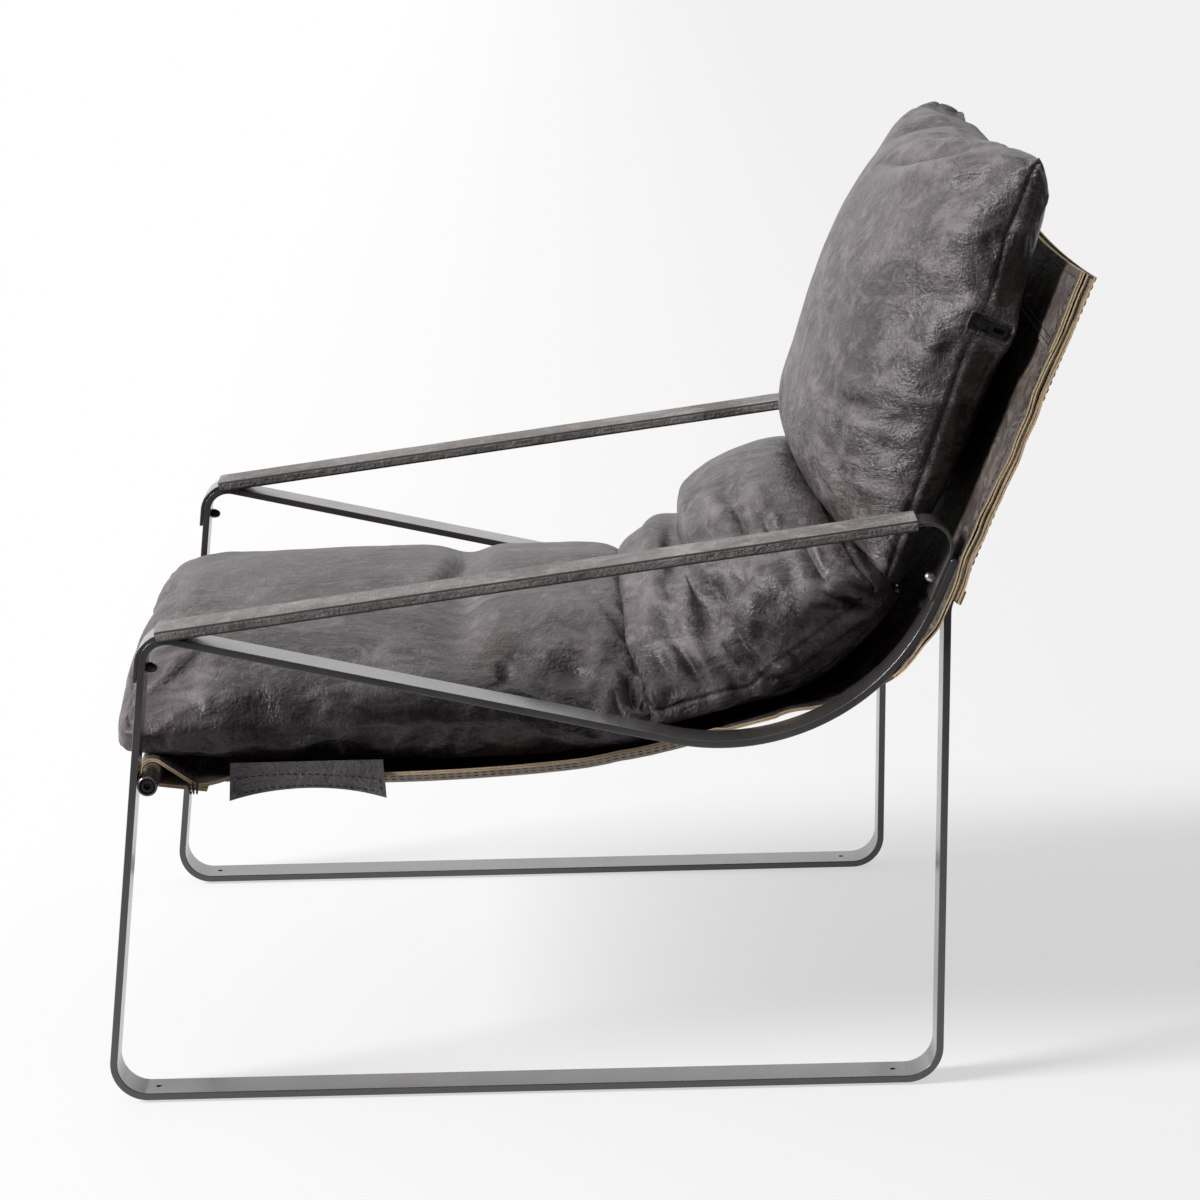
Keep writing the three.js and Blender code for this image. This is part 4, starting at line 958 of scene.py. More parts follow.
def slingSeams(path):
    d = seamLines
    face = slingHalfGap + ply + d["topLift"]
    bandFoot = slingRun - slingData["bandHeight"]
    seatStart = loopRadius * 2 * math.pi + d["seatStart"]
    inset = slingData["stitchIn"]
    widen = [s[2] for s in path if turnAt(s) > chair["widenStart"] * degree][0]
    backStart = [s[2] for s in path if turnAt(s) > chair["widenEnd"] * degree][0]
    up = np.arange(backStart, bandFoot, d["pitch"])
    high = np.arange(bandFoot + d["bandStart"], slingRun - d["topStop"], d["bandPitch"])
    wide = acrossBack()
    rows = []
    for sign in (1, -1):
        x = sign * (slingBackHalf - inset)
        rows.append([onSling(path, run, x, face) for run in up])
        rows.append([onSling(path, run, x, face + ply + gap + d["bandEdgeLift"]) for run in high])
    for run in (*(bandFoot + row for row in d["bandRows"]), slingRun - d["topRow"]):
        rows.append([onSling(path, run, x, face + ply + gap + d["bandLift"]) for x in wide])
    stitching("slingBackStitches", rows)
    under = []
    for sign in (1, -1):
        for inward in (inset, inset + d["secondRow"]):
            along = np.arange(seatStart, widen, d["pitch"])
            under.append([onSling(path, run, sign * (slingSeatHalf - inward),
                                  -slingHalfGap - ply - d["underLift"]) for run in along])
    stitching("slingUnderStitches", under)
    loopClosing()


# A row of places across the sling's back
def acrossBack():
    half = slingBackHalf - seamLines["sideStop"]
    return np.linspace(-half, half, seamLines["points"])


# The heavy seam that closes the loop round the front tube, wrapped round the edges
def loopClosing():
    d = loopSeam
    half = slingSeatHalf - d["sideStop"]
    seam = []
    for side in (-d["apart"], d["apart"]):
        for low in (d["lift"], -2 * plies):
            seam.append([place(x, stitchPoint + at(side - d["ahead"], low))
                         for x in np.linspace(-half, half, d["points"])])
    stitching("loopStitches", seam, scale=d["scale"])
    bm = bmesh.new()
    for sign in (1, -1):
        for k in range(d["wraps"]):
            spot = stitchPoint + at(k * d["wrapPitch"] + d["wrapStart"], -ply - d["wrapDrop"])
            x = sign * (slingSeatHalf + d["wrapOut"])
            lean = Matrix.Rotation(d["firstLean"] - d["leanStep"] * k, 4, "X")
            bmesh.ops.create_uvsphere(
                bm, u_segments=8, v_segments=6, radius=1,
                matrix=Matrix.Translation(place(x, spot)) @ lean
                @ Matrix.Diagonal((*d["wrapSize"], 1)))
    finishMesh(bm, "loopWraps", [materials["thread"]], recalc=False)


def backPanel():
    offset = -(barHalf + gap)
    foot = uprightBend + backUp * slingData["backFoot"]
    head = uprightBend + backUp * (chair["uprightLength"] + chair["slingPastUpright"])
    path = roundedPath([(foot, 0), (head, 0)], slingData["rowStep"])
    length = path[-1][2]
    sag = lambda s, u: topEdgeSag(length - s[2], u)
    def wave(s, u):
        loose = abs(noise.noise(Vector((3.3, s[2] * 0.014, u * 2))))
        edge = float(eased(abs(u), 0.975, 1))
        free = float(eased(abs(u), chair["width"] / 2 / slingBackHalf, 1.0))
        return ((slingData["draw"] - loose * 1.4) * edge
                + ripple(s, 1 if u > 0 else -1) * free)
    looks = [materials["slingLeather"], materials["rawEdge"]]
    edge = lambda most: lambda s, u: u * (slingBackHalf + most + cutEdge(s[2], 7 if u > 0 else 9))
    panel = leatherSheet("slingBackPanel", path, offset - slingData["backPly"], offset, edge(0),
                         wave, sag, looks)
    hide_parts("sling_back_panel")
    hemPath = stretch(path, 0, slingData["hemHeight"])
    hem = leatherSheet("slingHem", hemPath, offset - 2 * slingData["backPly"],
                       offset - slingData["backPly"], edge(-0.6), wave, lambda s, u: 0, looks)
    rows = []
    wide = acrossBack()
    station = stationAt(path, slingData["hemStitch"])
    rows.append([place(x, station[0] + station[1] * (offset - 2 * slingData["backPly"]
                                              - seamLines["panelLift"]))
                 for x in wide])
    for sign in (1, -1):
        rows.append([place(sign * (slingBackHalf - slingData["stitchIn"]),
                           s[0] + s[1] * (offset - slingData["backPly"]
                                          - seamLines["panelLift"]))
                     for s in path if s[2] > slingData["hemHeight"]])
    stitches = stitching("slingPanelStitches", rows)
    # The welt that fills the sleeve's side beside each upright
    weltPath = stretch(path, 2, length - 3)
    for side, sign in sides.items():
        for k, low in enumerate((-2.45, 0.4)):
            across = lambda s, u: sign * (
                slingData["weltFrom"] + (u + 1) / 2 * (slingBackHalf - slingData["weltFrom"] - 0.8)
                + cutEdge(s[2], 11 + 2 * k, 0.6) * (u + 1) / 2)
            lift = lambda s, u: (0.8 * noise.noise(Vector((k * 5.0, s[2] * 0.018, sign)))
                                 + ripple(s, sign) * 0.85 * (u + 1) / 2)
            edges = [materials["welt"], materials["welt" if k else "rawEdge"]]
            leatherSheet("slingWelt" + side.capitalize() + "AB"[k], weltPath, low,
                                      low + slingData["weltPly"], across, lift,
                                      lambda s, u: 0, edges, columns=3)


print("sling")
sling()
backPanel()


# ---- cushions ----
# A closed form from a cube: its faces are divided by share, its edges rounded, and each point is
# sent to its place by shares from -1 to 1. The shares are kept for the seams.
def cushionForm(name, cuts, radii, shape):
    bm = bmesh.new()
    bmesh.ops.create_cube(bm, size=2)
    for axis, count in enumerate(cuts):
        edges = [e for e in bm.edges
                 if abs(e.verts[0].co[axis] - e.verts[1].co[axis]) > 1.9]
        bmesh.ops.subdivide_edges(bm, edges=edges, cuts=count, use_grid_fill=True)
    bm.verts.ensure_lookup_table()
    co = np.array([v.co for v in bm.verts])
    wide = np.sin(co * math.pi / 2 * 0.9) / math.sin(math.pi / 2 * 0.9)
    wide[:, 2] = co[:, 2]
    inner = 1 - np.array(radii)
    core = np.clip(wide, -inner, inner)
    out = (wide - core) / np.array(radii)
    length = np.maximum(np.linalg.norm(out, axis=1), 1e-9)
    largest = np.maximum(np.abs(out).max(axis=1), 1e-9)
    shares = core + out * (largest / length)[:, None] * np.array(radii)
    points = shape(shares[:, 0], shares[:, 1], shares[:, 2])
    for vert, point in zip(bm.verts, points):
        vert.co = point
    piece = finishMesh(bm, name, [materials["leather"]])
    for axis, key in enumerate("uvw"):
        writeShare(piece, key, wide[:, axis])
    return piece


def readVectors(piece, key):
    values = np.zeros(len(piece.data.vertices) * 3)
    piece.data.vertices.foreach_get(key, values)
    return values.reshape(-1, 3)


def writePoints(piece, co):
    piece.data.vertices.foreach_set("co", co.ravel())
    piece.data.update()


def readShare(piece, key):
    value = np.zeros(len(piece.data.vertices))
    piece.data.attributes[key].data.foreach_get("value", value)
    return value


def writeShare(piece, key, value):
    kept = piece.data.attributes.get(key) or piece.data.attributes.new(key, "FLOAT", "POINT")
    kept.data.foreach_set("value", value.astype(np.float32))


def subdivided(piece):
    modifier = piece.modifiers.new("finer", "SUBSURF")
    modifier.levels = modifier.render_levels = 1
    applyModifiers(piece)


# Lets the cover swell a little round its filling: a short run under pressure, without weight or
# touching, whose moves are then eased off towards a cap in millimetres
simData = {
    "frames": 18, "pressure": 3.5, "looser": 0.03, "quality": 5, "mass": 0.4,
    "tension": 25, "compression": 18, "shear": 12, "bending": 1.2, "heldBelow": -0.9,
}


def puffed(piece, cap):
    before = readVectors(piece, "co")
    held = piece.vertex_groups.new(name="held")
    weights = readShare(piece, "w")
    held.add([int(i) for i in np.where(weights < simData["heldBelow"])[0]], 1.0, "REPLACE")
    modifier = piece.modifiers.new("cover", "CLOTH")
    settings = modifier.settings
    settings.quality = simData["quality"]
    settings.mass = simData["mass"]
    for kind in ("tension", "compression", "shear", "bending"):
        setattr(settings, kind + "_stiffness", simData[kind])
    settings.use_pressure = True
    settings.uniform_pressure_force = simData["pressure"]
    settings.shrink_min = -simData["looser"]
    settings.vertex_group_mass = "held"
    settings.effector_weights.gravity = 0
    modifier.collision_settings.use_collision = False
    modifier.point_cache.frame_start = 1
    modifier.point_cache.frame_end = simData["frames"] + 2
    scene = bpy.context.scene
    for number in range(1, simData["frames"] + 1):
        scene.frame_set(number)
    seen = piece.evaluated_get(bpy.context.evaluated_depsgraph_get())
    after = readVectors(seen, "co")
    piece.modifiers.remove(modifier)
    piece.vertex_groups.clear()
    scene.frame_set(1)
    moved = after - before
    reach = np.linalg.norm(moved, axis=1)
    most = cap * 0.001
    share = np.where(reach > 0, most * np.tanh(reach / most) / np.maximum(reach, 1e-9), 0)
    writePoints(piece, before + moved * share[:, None])
    print("  swelled", piece.name, "by up to", round(float(reach.max()) * 1000, 1), "mm")


# Folds read off the photograph: lines on the 1200 pixel picture, each with its depth in
# millimetres and its width in pixels. Positive depth is a valley, negative a raised fold. Narrow
# ones are creases, sharp in the middle with a swell beside them; wide ones are soft hollows and
# crowns. A fourth number leans the swell to one side of the line.
# It also returns painted shade for the middle of each crease, and pale marks on crests and crease
# swells that are partly rubbed wear and partly painted highlight.
def pressFolds(piece, folds):
    co = readVectors(piece, "co")
    normals = readVectors(piece, "normal")
    across, down = pixelOf(co)
    toCamera = np.array(cameraData["location"]) - co
    toCamera /= np.linalg.norm(toCamera, axis=1)[:, None]
    seen = eased((normals * toCamera).sum(axis=1), -0.02, 0.2)
    lift = np.zeros(len(co))
    shade = np.zeros(len(co))
    wearAndHighlight = np.zeros(len(co))
    wander = noiseAt(co, 30.0, 41) * 2.5 + noiseAt(co, 80.0, 43)
    vary = 1 + 0.35 * noiseAt(co, 22.0, 47)
    for depth, width, line, *lean in folds:
        lean = lean[0] if lean else 0
        best = np.full(len(co), 1e9)
        side = np.zeros(len(co))
        share = np.zeros(len(co))
        total = sum(math.dist(a, b) for a, b in zip(line, line[1:]))
        done = 0
        for a, b in zip(line, line[1:]):
            way = np.array(b) - np.array(a)
            length = math.dist(a, b)
            px, py = across - a[0], down - a[1]
            t = np.clip((px * way[0] + py * way[1]) / length ** 2, 0, 1)
            dx, dy = px - t * way[0], py - t * way[1]
            distance = np.hypot(dx, dy)
            nearer = distance < best
            best = np.where(nearer, distance, best)
            side = np.where(nearer, np.sign(way[0] * dy - way[1] * dx), side)
            share = np.where(nearer, (done + t * length) / total, share)
            done += length
        taper = eased(np.minimum(share, 1 - share), -0.05, 0.4) * seen * vary
        soft = width >= 9
        gone = np.maximum(best + wander * (0.25 if soft else 0.5), 0) / width
        if soft:
            form = np.exp(-gone ** 2)
            lift -= depth * taper * form
            if depth < 0:
                # pale mark on the crown's crest, partly rubbed wear and partly painted highlight
                wearAndHighlight = np.maximum(wearAndHighlight, taper * form ** 2 * min(1, -depth / 7))
            continue
        groove = np.exp(-(gone * 1.5) ** 1.15) if depth > 0 else np.exp(-gone ** 1.7)
        swell = np.exp(-((gone - 2.0) / 1.2) ** 2)
        if depth > 0:
            lift += depth * taper * (swell * (0.3 + 0.4 * lean * side) - groove)
            # painted shade in the crease's middle, and a pale mark on the swells beside it that is
            # partly rubbed wear and partly painted highlight
            shade = np.maximum(shade, taper * np.exp(-(gone * 2.4) ** 2) * min(1, depth / 7))
            wearAndHighlight = np.maximum(wearAndHighlight, taper * swell * 0.5 * min(1, depth / 8))
        else:
            lift += -depth * taper * groove
            # pale mark on the raised crease's crest, partly rubbed wear and partly painted
            # highlight
            wearAndHighlight = np.maximum(wearAndHighlight, taper * np.exp(-(gone * 1.3) ** 2) * min(1, -depth / 4))
    writePoints(piece, co + normals * (lift * 0.001)[:, None])
    return shade, wearAndHighlight


# Soft undulation all over
def rumpled(piece, broad, seed):
    co = readVectors(piece, "co")
    normals = readVectors(piece, "normal")
    big = noiseAt(co, 8.0, seed) + 0.55 * noiseAt(co, 17.0, seed + 1)
    warp = np.stack([noiseAt(co, 9.0, seed + k) for k in (2, 3, 4)], axis=1) * 0.05
    long = (co + warp) * np.array((1.0, 2.0, 0.8))
    big += 0.22 * noiseAt(long, 30.0, seed + 8) + 0.08 * noiseAt(long, 66.0, seed + 9)
    writePoints(piece, co + normals * (broad * big * 0.001)[:, None])


def placed(x, y, z):
    return np.stack([x, y + shiftY, z + shiftZ], axis=1) * 0.001


def sideways(origin, up, run, height):
    left = leftOf(up)
    return (origin.x + up.x * run + left.x * height, origin.y + up.y * run + left.y * height)


# Seat cushion
seatData = {
    "overhang": 35, "aheadOfValley": 56, "half": innerX - 5, "lean": 0.10, "sideRise": 8,
    "frontRise": 15, "border": 48, "crown": 60, "taper": 20, "dip": 15, "dipFromRear": 168,
    "dipRun": 20, "drawIn": 6, "rearRound": 7, "cuts": (92, 80, 17), "radii": (0.13, 0.11, 0.55),
    "seams": (-0.82, 0.82), "seed": 3, "cap": 7.0, "broad": 2.2,
}
seatFolds = [
    (-2.0, 4, [(206, 692), (206, 704), (209, 718)]),
    (2.0, 12, [(192, 690), (190, 712), (196, 734)]),
    (-2.2, 5, [(346, 690), (336, 704), (322, 722)]),
    (2.2, 10, [(326, 690), (314, 706), (300, 722)]),
    (-2.0, 5, [(420, 722), (404, 734), (387, 752)]),
    (2.2, 10, [(446, 712), (424, 738), (404, 756)]),
    (-3.2, 5, [(480, 698), (474, 712), (466, 728), (460, 742)]),
    (5.0, 6, [(464, 722), (456, 738), (446, 757)], 0.4),
    (-2.5, 11, [(500, 712), (494, 730), (486, 748)]),
    (8.0, 8, [(628, 676), (632, 692), (637, 712)], 0.2),
    (5.0, 6, [(612, 690), (616, 704), (624, 718)]),
    (-5.0, 10, [(608, 664), (613, 684), (618, 708)]),
    (-3.0, 6, [(646, 668), (644, 684), (646, 704)]),
    (4.0, 7, [(490, 690), (500, 684), (508, 676), (508, 664)], -0.5),
    (-3.4, 6, [(484, 676), (490, 666), (502, 660), (514, 668), (514, 684)]),
    (-5.0, 13, [(556, 640), (542, 656), (530, 676), (524, 694)]),
    (6.0, 14, [(574, 640), (578, 660), (572, 690)]),
    (4.0, 12, [(520, 652), (508, 662), (496, 672)]),
    (-3.0, 9, [(594, 634), (598, 656), (594, 684)]),
    (2.2, 7, [(570, 580), (598, 598), (616, 620), (628, 648)], 0.5),
    (-1.8, 10, [(562, 590), (588, 610), (606, 632), (616, 656)]),
    (2.0, 8, [(536, 624), (562, 624), (588, 634), (606, 652)], 0.3),
    (-1.8, 10, [(528, 614), (560, 612), (590, 622)]),
    (7.0, 7, [(468, 557), (459, 568), (447, 579), (430, 592)], 0.5),
    (2.4, 16, [(360, 613), (393, 626), (425, 632), (456, 630)]),
    (2.0, 13, [(385, 650), (420, 656), (455, 652), (490, 642)]),
    (-2.0, 12, [(372, 638), (404, 644), (440, 640)]),
    (2.0, 14, [(180, 566), (172, 596), (164, 632)]),
    (-1.8, 12, [(196, 566), (190, 596), (184, 630)]),
    (2.0, 14, [(206, 570), (240, 590), (278, 600)]),
    (2.0, 12, [(320, 592), (356, 600), (398, 592), (432, 580)]),
    (2.0, 12, [(520, 704), (548, 712), (580, 722)]),
    (3.0, 16, [(240, 690), (270, 716), (280, 745)]),
    (-2.4, 14, [(262, 682), (290, 704), (300, 730)]),
    (2.4, 14, [(360, 700), (372, 722), (368, 745)]),
]
seatBase = (stitchPoint + leftOf(seatAlong) * slingFace
            + seatAlong * ((tubeAt.x - seatData["overhang"] - stitchPoint.x) / seatAlong.x))
seatLength = valleyCentre.x - seatData["aheadOfValley"] - seatBase.x


def seatShape(u, v, w):
    d = seatData
    frontLift = np.where(v < 0, d["frontRise"] * dome(np.clip(v + 1, 0, 1), 4), 0)
    share = (v + 1) / 2
    across = (seatBase.x + seatLength * share - stitchPoint.x) / (flatStart.x - stitchPoint.x)
    sag = slingData["seatSag"] * 4 * np.maximum(0, across * (1 - across))
    low = d["sideRise"] * (1 - dome(u, 0.6) * dome(v, 0.5)) + frontLift - sag * dome(u, 0.6)
    crown = dome(u, 0.75) * dome(v, 0.11)
    crease = d["dip"] * ridge(seatLength * (1 - share), d["dipFromRear"], d["dipRun"])
    high = d["sideRise"] + d["border"] + d["crown"] * crown - crease * dome(u, 1)
    high = high - sag * 0.5
    height = low + (high - low) * (w + 1) / 2
    lean = d["lean"] * height
    run = lean + (seatLength - 2 * lean) * share
    run = run + d["rearRound"] * np.where(v > 0, eased(v, 0.7, 1), 0) * dome(w, 1)
    y, z = sideways(seatBase, seatAlong, run, height)
    half = d["half"] - d["drawIn"] * dome(v, 1) * dome(w, 1) - d["taper"] * ((1 - w) / 2) ** 1.5
    return placed(u * half, y, z)


# Lumbar cushion
lumbarData = {
    "turn": 38, "front": 180, "rear": 72, "frontLean": 52, "rearLean": 26,
    "half": innerX - 7, "border": 54, "crown": 117, "sideRise": 26, "fold": 26, "foldAt": -76,
    "foldRun": 12, "drawIn": 4, "taper": 20, "cuts": (92, 74, 22), "radii": (0.035, 0.09, 0.14),
    "seams": (1.0,), "seed": 11, "cap": 7.0, "broad": 2.4, "sideShort": 16, "thinnest": 14,
}
lumbarFolds = [
    (7.2, 9, [(668, 522), (670, 540), (674, 562), (678, 584)]),
    (-5.8, 12, [(650, 556), (652, 584), (650, 612), (646, 636)]),
    (4.8, 8, [(658, 576), (667, 590), (673, 606)], -0.4),
    (-7.2, 13, [(684, 566), (690, 590), (688, 614), (681, 634)]),
    (10.9, 13, [(726, 572), (713, 590), (709, 610), (712, 628), (720, 644)]),
    (-8.7, 13, [(748, 560), (757, 584), (750, 610), (736, 628)]),
    (8.4, 7, [(741, 616), (735, 630), (738, 643), (748, 655), (758, 666), (764, 676)], 0.5),
    (5.8, 14, [(748, 628), (762, 640), (778, 650)]),
    (-5.8, 10, [(722, 640), (732, 652), (744, 664)]),
    (7.2, 11, [(728, 560), (742, 578), (756, 590), (768, 596)]),
    (4.2, 6, [(758, 594), (768, 600), (777, 601), (780, 592)]),
    (-5.1, 10, [(766, 568), (776, 580), (790, 584)]),
    (-5.1, 12, [(800, 600), (818, 608), (838, 608)]),
    (8.0, 10, [(664, 622), (675, 641), (687, 655), (699, 676), (709, 692)]),
    (3.0, 5, [(672, 640), (684, 654), (694, 668), (704, 684)], 0.3),
    (-5.1, 9, [(682, 640), (696, 656), (708, 676)]),
    (-5.1, 9, [(660, 640), (672, 656), (684, 674)]),
    (4.3, 9, [(650, 640), (662, 660), (674, 684)]),
    (-4.3, 12, [(708, 700), (722, 694), (736, 684)]),
    (8.4, 6, [(760, 670), (770, 680), (784, 681), (800, 674)]),
    (-4.8, 6, [(770, 668), (784, 668), (798, 660)]),
    (8.0, 12, [(716, 478), (726, 492), (735, 508)]),
    (7.2, 6, [(728, 496), (736, 510), (743, 527), (747, 542)], 0.4),
    (-6.5, 12, [(704, 492), (714, 510), (722, 534)]),
    (-5.8, 12, [(748, 480), (758, 502), (764, 520)]),
    (5.8, 12, [(690, 500), (700, 522), (706, 548)]),
    (6.0, 4, [(764, 525), (770, 531), (780, 532)]),
    (-4.2, 5, [(764, 520), (774, 518), (783, 526)]),
    (7.2, 7, [(796, 530), (808, 548), (820, 572), (832, 588)], 0.4),
    (-6.0, 6, [(806, 540), (816, 556), (824, 574)]),
    (8.4, 5, [(822, 591), (838, 598), (856, 603), (874, 606)]),
    (-8.4, 6, [(824, 581), (846, 585), (870, 592)]),
    (-3.6, 12, [(640, 700), (654, 694), (668, 700)]),
    (3.6, 10, [(652, 712), (676, 704), (698, 706)]),
]
lumbarUp = heading(lumbarData["turn"] * degree)
lumbarFloor = valleyRadius + barHalf
lumbarAt = valleyCentre + heading((lumbarData["turn"] - 90) * degree) * lumbarFloor


def slingUnder(run):
    turn = (lumbarData["turn"] - chair["slingValleyStart"]) * degree
    bendRun = -lumbarFloor * math.sin(turn)
    curved = lumbarFloor - np.sqrt(np.maximum(0, lumbarFloor ** 2 - run ** 2))
    flat = lumbarFloor * (1 - math.cos(turn)) + (bendRun - run) * math.tan(turn)
    return np.where(run > bendRun, curved, flat)


def lumbarShape(u, v, w):
    d = lumbarData
    crown = dome(u, 0.5) * dome(v, 0.15)
    share = (w + 1) / 2
    rise = share * (d["border"] + d["crown"] * crown) / (d["border"] + d["crown"])
    start = d["frontLean"] * rise - d["front"]
    end = d["rear"] - d["rearLean"] * rise
    run = start + (end - start) * (v + 1) / 2
    low = slingUnder(run) + d["sideRise"] * (1 - dome(u, 0.6) * dome(v, 0.5))
    low = np.minimum(low, slingUnder(run) + d["border"] - d["sideShort"])
    crease = d["fold"] * dome(u, 0.5) * ridge(run, d["foldAt"], d["foldRun"])
    high = np.maximum(low + d["thinnest"], d["border"]) + d["crown"] * crown - crease
    height = low + (high - low) * share
    y, z = sideways(lumbarAt, lumbarUp, run, height)
    half = d["half"] - d["drawIn"] * dome(v, 1) * dome(w, 1) - d["taper"] * (1 - share)
    return placed(u * half, y, z)


# Back cushion
pillowData = {
    "low": 100, "length": 372, "level": 60, "slope": 0.35, "half": innerX - 21, "sideRise": 27,
    "border": 24, "crown": 112, "ear": 20, "earRise": 12, "topRun": 110, "topLean": 1.3,
    "drawIn": 2, "taper": 25, "cuts": (90, 76, 15), "radii": (0.010, 0.0125, 0.10),
    "lowBulge": 17, "bulgeAt": -0.95, "bulgeRun": 0.36, "nearLift": 14, "farDrop": 15,
    "farBack": 22, "zipRun": 152, "zipFlat": 34,
    "seams": (1.0,), "seed": 23, "cap": 6.0, "broad": 1.8,
}
pillowFolds = [
    (9.0, 8, [(862, 160), (885, 161), (902, 159), (940, 151), (990, 143)]),
    (7.0, 12, [(880, 152), (905, 148), (940, 140), (975, 134)]),
    (-5.0, 12, [(880, 178), (912, 176), (950, 168), (990, 158)]),
    (3.0, 12, [(900, 122), (925, 130), (952, 146)]),
    (-2.5, 10, [(912, 112), (934, 116), (958, 134)]),
    (5.0, 16, [(1018, 200), (1002, 232), (982, 262)]),
    (-4.0, 16, [(985, 190), (965, 226), (940, 262)]),
    (3.0, 7, [(948, 222), (964, 223), (980, 226), (996, 231)], 0.3),
    (4.0, 8, [(918, 290), (936, 293), (958, 296), (976, 300)], -0.4),
    (4.5, 15, [(946, 262), (922, 294), (904, 326), (892, 356)]),
    (-4.0, 14, [(930, 306), (936, 340), (926, 372)]),
    (3.0, 12, [(952, 330), (946, 358), (936, 384)]),
    (4.0, 8, [(829, 376), (834, 392), (846, 401), (862, 404), (880, 414)], 0.4),
    (-3.0, 10, [(840, 376), (858, 388), (878, 394)]),
    (3.0, 7, [(836, 410), (838, 424), (836, 440)]),
    (-2.8, 10, [(852, 416), (856, 434), (852, 454)]),
    (3.5, 12, [(880, 418), (900, 424), (922, 418)]),
    (3.0, 9, [(866, 446), (890, 450), (912, 462)]),
    (-2.6, 12, [(872, 464), (892, 474), (908, 492)]),
    (3.0, 12, [(850, 490), (866, 510), (876, 532)]),
    (5.0, 6, [(817, 549), (830, 561), (848, 569), (866, 570), (876, 574)]),
    (-4.0, 7, [(824, 540), (842, 554), (862, 558)]),
    (3.0, 5, [(862, 558), (870, 567), (874, 578)]),
    (3.0, 16, [(812, 300), (826, 330), (832, 352)]),
    (3.5, 15, [(792, 363), (800, 396), (810, 430), (816, 462)]),
    (-3.0, 14, [(816, 372), (824, 402), (830, 446)]),
    (2.6, 20, [(884, 200), (872, 240), (856, 276)]),
    (-2.6, 20, [(912, 200), (904, 240), (888, 276)]),
    (-2.0, 12, [(832, 250), (820, 280), (812, 306)]),
    (2.0, 8, [(905, 372), (925, 386), (940, 392)]),
    (3.0, 4, [(1019, 152), (1024, 158), (1028, 168)]),
]
pillowAt = (slingBackLine + backUp * (chair["boltAboveBend"] + pillowData["level"])
            - backOut * slingFace)


def pillowShape(u, v, w):
    d = pillowData
    crown = dome(u, 0.5) * dome(v, 0.25)
    length = d["length"] * (1 - v) / 2
    upper = eased(d["topRun"] - length, 0, d["topRun"])
    corner = u * u * upper
    low = d["sideRise"] * (1 - dome(u, 0.6) * dome(v, 0.5))
    bulge = d["lowBulge"] * ridge(v, d["bulgeAt"], d["bulgeRun"]) * dome(u, 0.5) * (1 - 0.3 * u)
    high = d["sideRise"] + d["border"] * (0.82 + 0.18 * v) + d["crown"] * crown + bulge
    height = low + (high - low) * (w + 1) / 2 + d["earRise"] * corner
    height = height + d["farBack"] * eased(-u, 0.35, 1) * upper
    start = d["slope"] * height - d["low"]
    seamHeight = d["sideRise"] + d["border"] + d["earRise"] * corner
    short = d["topLean"] * np.maximum(0, seamHeight - height) * (0.6 + 0.4 * u * u)
    end = d["length"] - d["low"] - short
    run = start + (end - start) * (v + 1) / 2 + d["ear"] * corner
    run = run + upper * (d["nearLift"] * ridge(u, 0.62, 0.42) - d["farDrop"] * eased(-u, 0.45, 1))
    y, z = sideways(pillowAt, backUp, run, height)
    flat = np.where(u > 0, 1 - ridge(run, d["zipRun"], d["zipFlat"]), 1) * (1 - 0.6 * upper)
    half = d["half"] - d["drawIn"] * dome(v, 1) * dome(w, 1) - d["taper"] * flat * (1 - w) / 2
    return placed(u * half, y, z)


# Sewn seams at levels of w, round the whole side wall or across its two ends only: each is a
# narrow groove that draws the leather into puckers
seamData = {
    "pull": 2.0, "narrow": 1.3, "pucker": 0.5, "puckerAt": 5.0, "puckerWide": 4.5,
    "atEdge": 0.9985,    # how near to 1 the share u or v is on the side wall's points
    "nearLevel": 0.04,   # how near to the seam's level its points lie
}


def sewSeams(piece, levels, endsOnly):
    co = readVectors(piece, "co")
    normals = readVectors(piece, "normal")
    u, v, w = (readShare(piece, key) for key in "uvw")
    side = np.abs(v) if endsOnly else np.maximum(np.abs(u), np.abs(v))
    edge = side > seamData["atEdge"]
    lift = np.zeros(len(co))
    shade = np.zeros(len(co))
    for level in levels:
        line = np.where(edge & (np.abs(w - level) < seamData["nearLevel"]))[0]
        tree = kdtree.KDTree(len(line))
        for k, index in enumerate(line):
            tree.insert(Vector(co[index]), k)
        tree.balance()
        gone = np.array([tree.find(Vector(point))[2] for point in co]) * 1000
        run = (co[:, 0] + co[:, 1] * 1.1 + co[:, 2] * 0.9) * 1000
        wave = np.sin(run / 2.6) * np.sin(run / 8.3 + 1.7) + 0.5 * np.sin(run / 5.1 + 0.4)
        groove = np.exp(-((gone / seamData["narrow"]) ** 1.3))
        lift -= seamData["pull"] * groove
        lift += seamData["pucker"] * wave * ridge(gone, seamData["puckerAt"],
                                                  seamData["puckerWide"])
        # painted shade along the seam's groove
        shade = np.maximum(shade, np.exp(-((gone / seamData["narrow"]) ** 2)))
    writePoints(piece, co + normals * (lift * 0.001)[:, None])
    return shade


def cushion(name, node, data, shape, folds, endsOnly=False):
    piece = cushionForm(name, data["cuts"], data["radii"], shape)
    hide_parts(node)
    puffed(piece, data["cap"])
    subdivided(piece)
    rumpled(piece, data["broad"], data["seed"])
    shade, wearAndHighlight = pressFolds(piece, folds)
    seam = sewSeams(piece, data["seams"], endsOnly)
    if node == "back_cushion":
        flatUnderZip(piece)
    # painted shade in creases and seam grooves goes to 'fold'; pale crest marks, partly rubbed wear
    # and partly painted highlight, go beside it
    writeShare(piece, "fold", np.maximum(shade * 0.5, seam * 0.8))
    writeShare(piece, "wearAndHighlight", wearAndHighlight * 0.45)


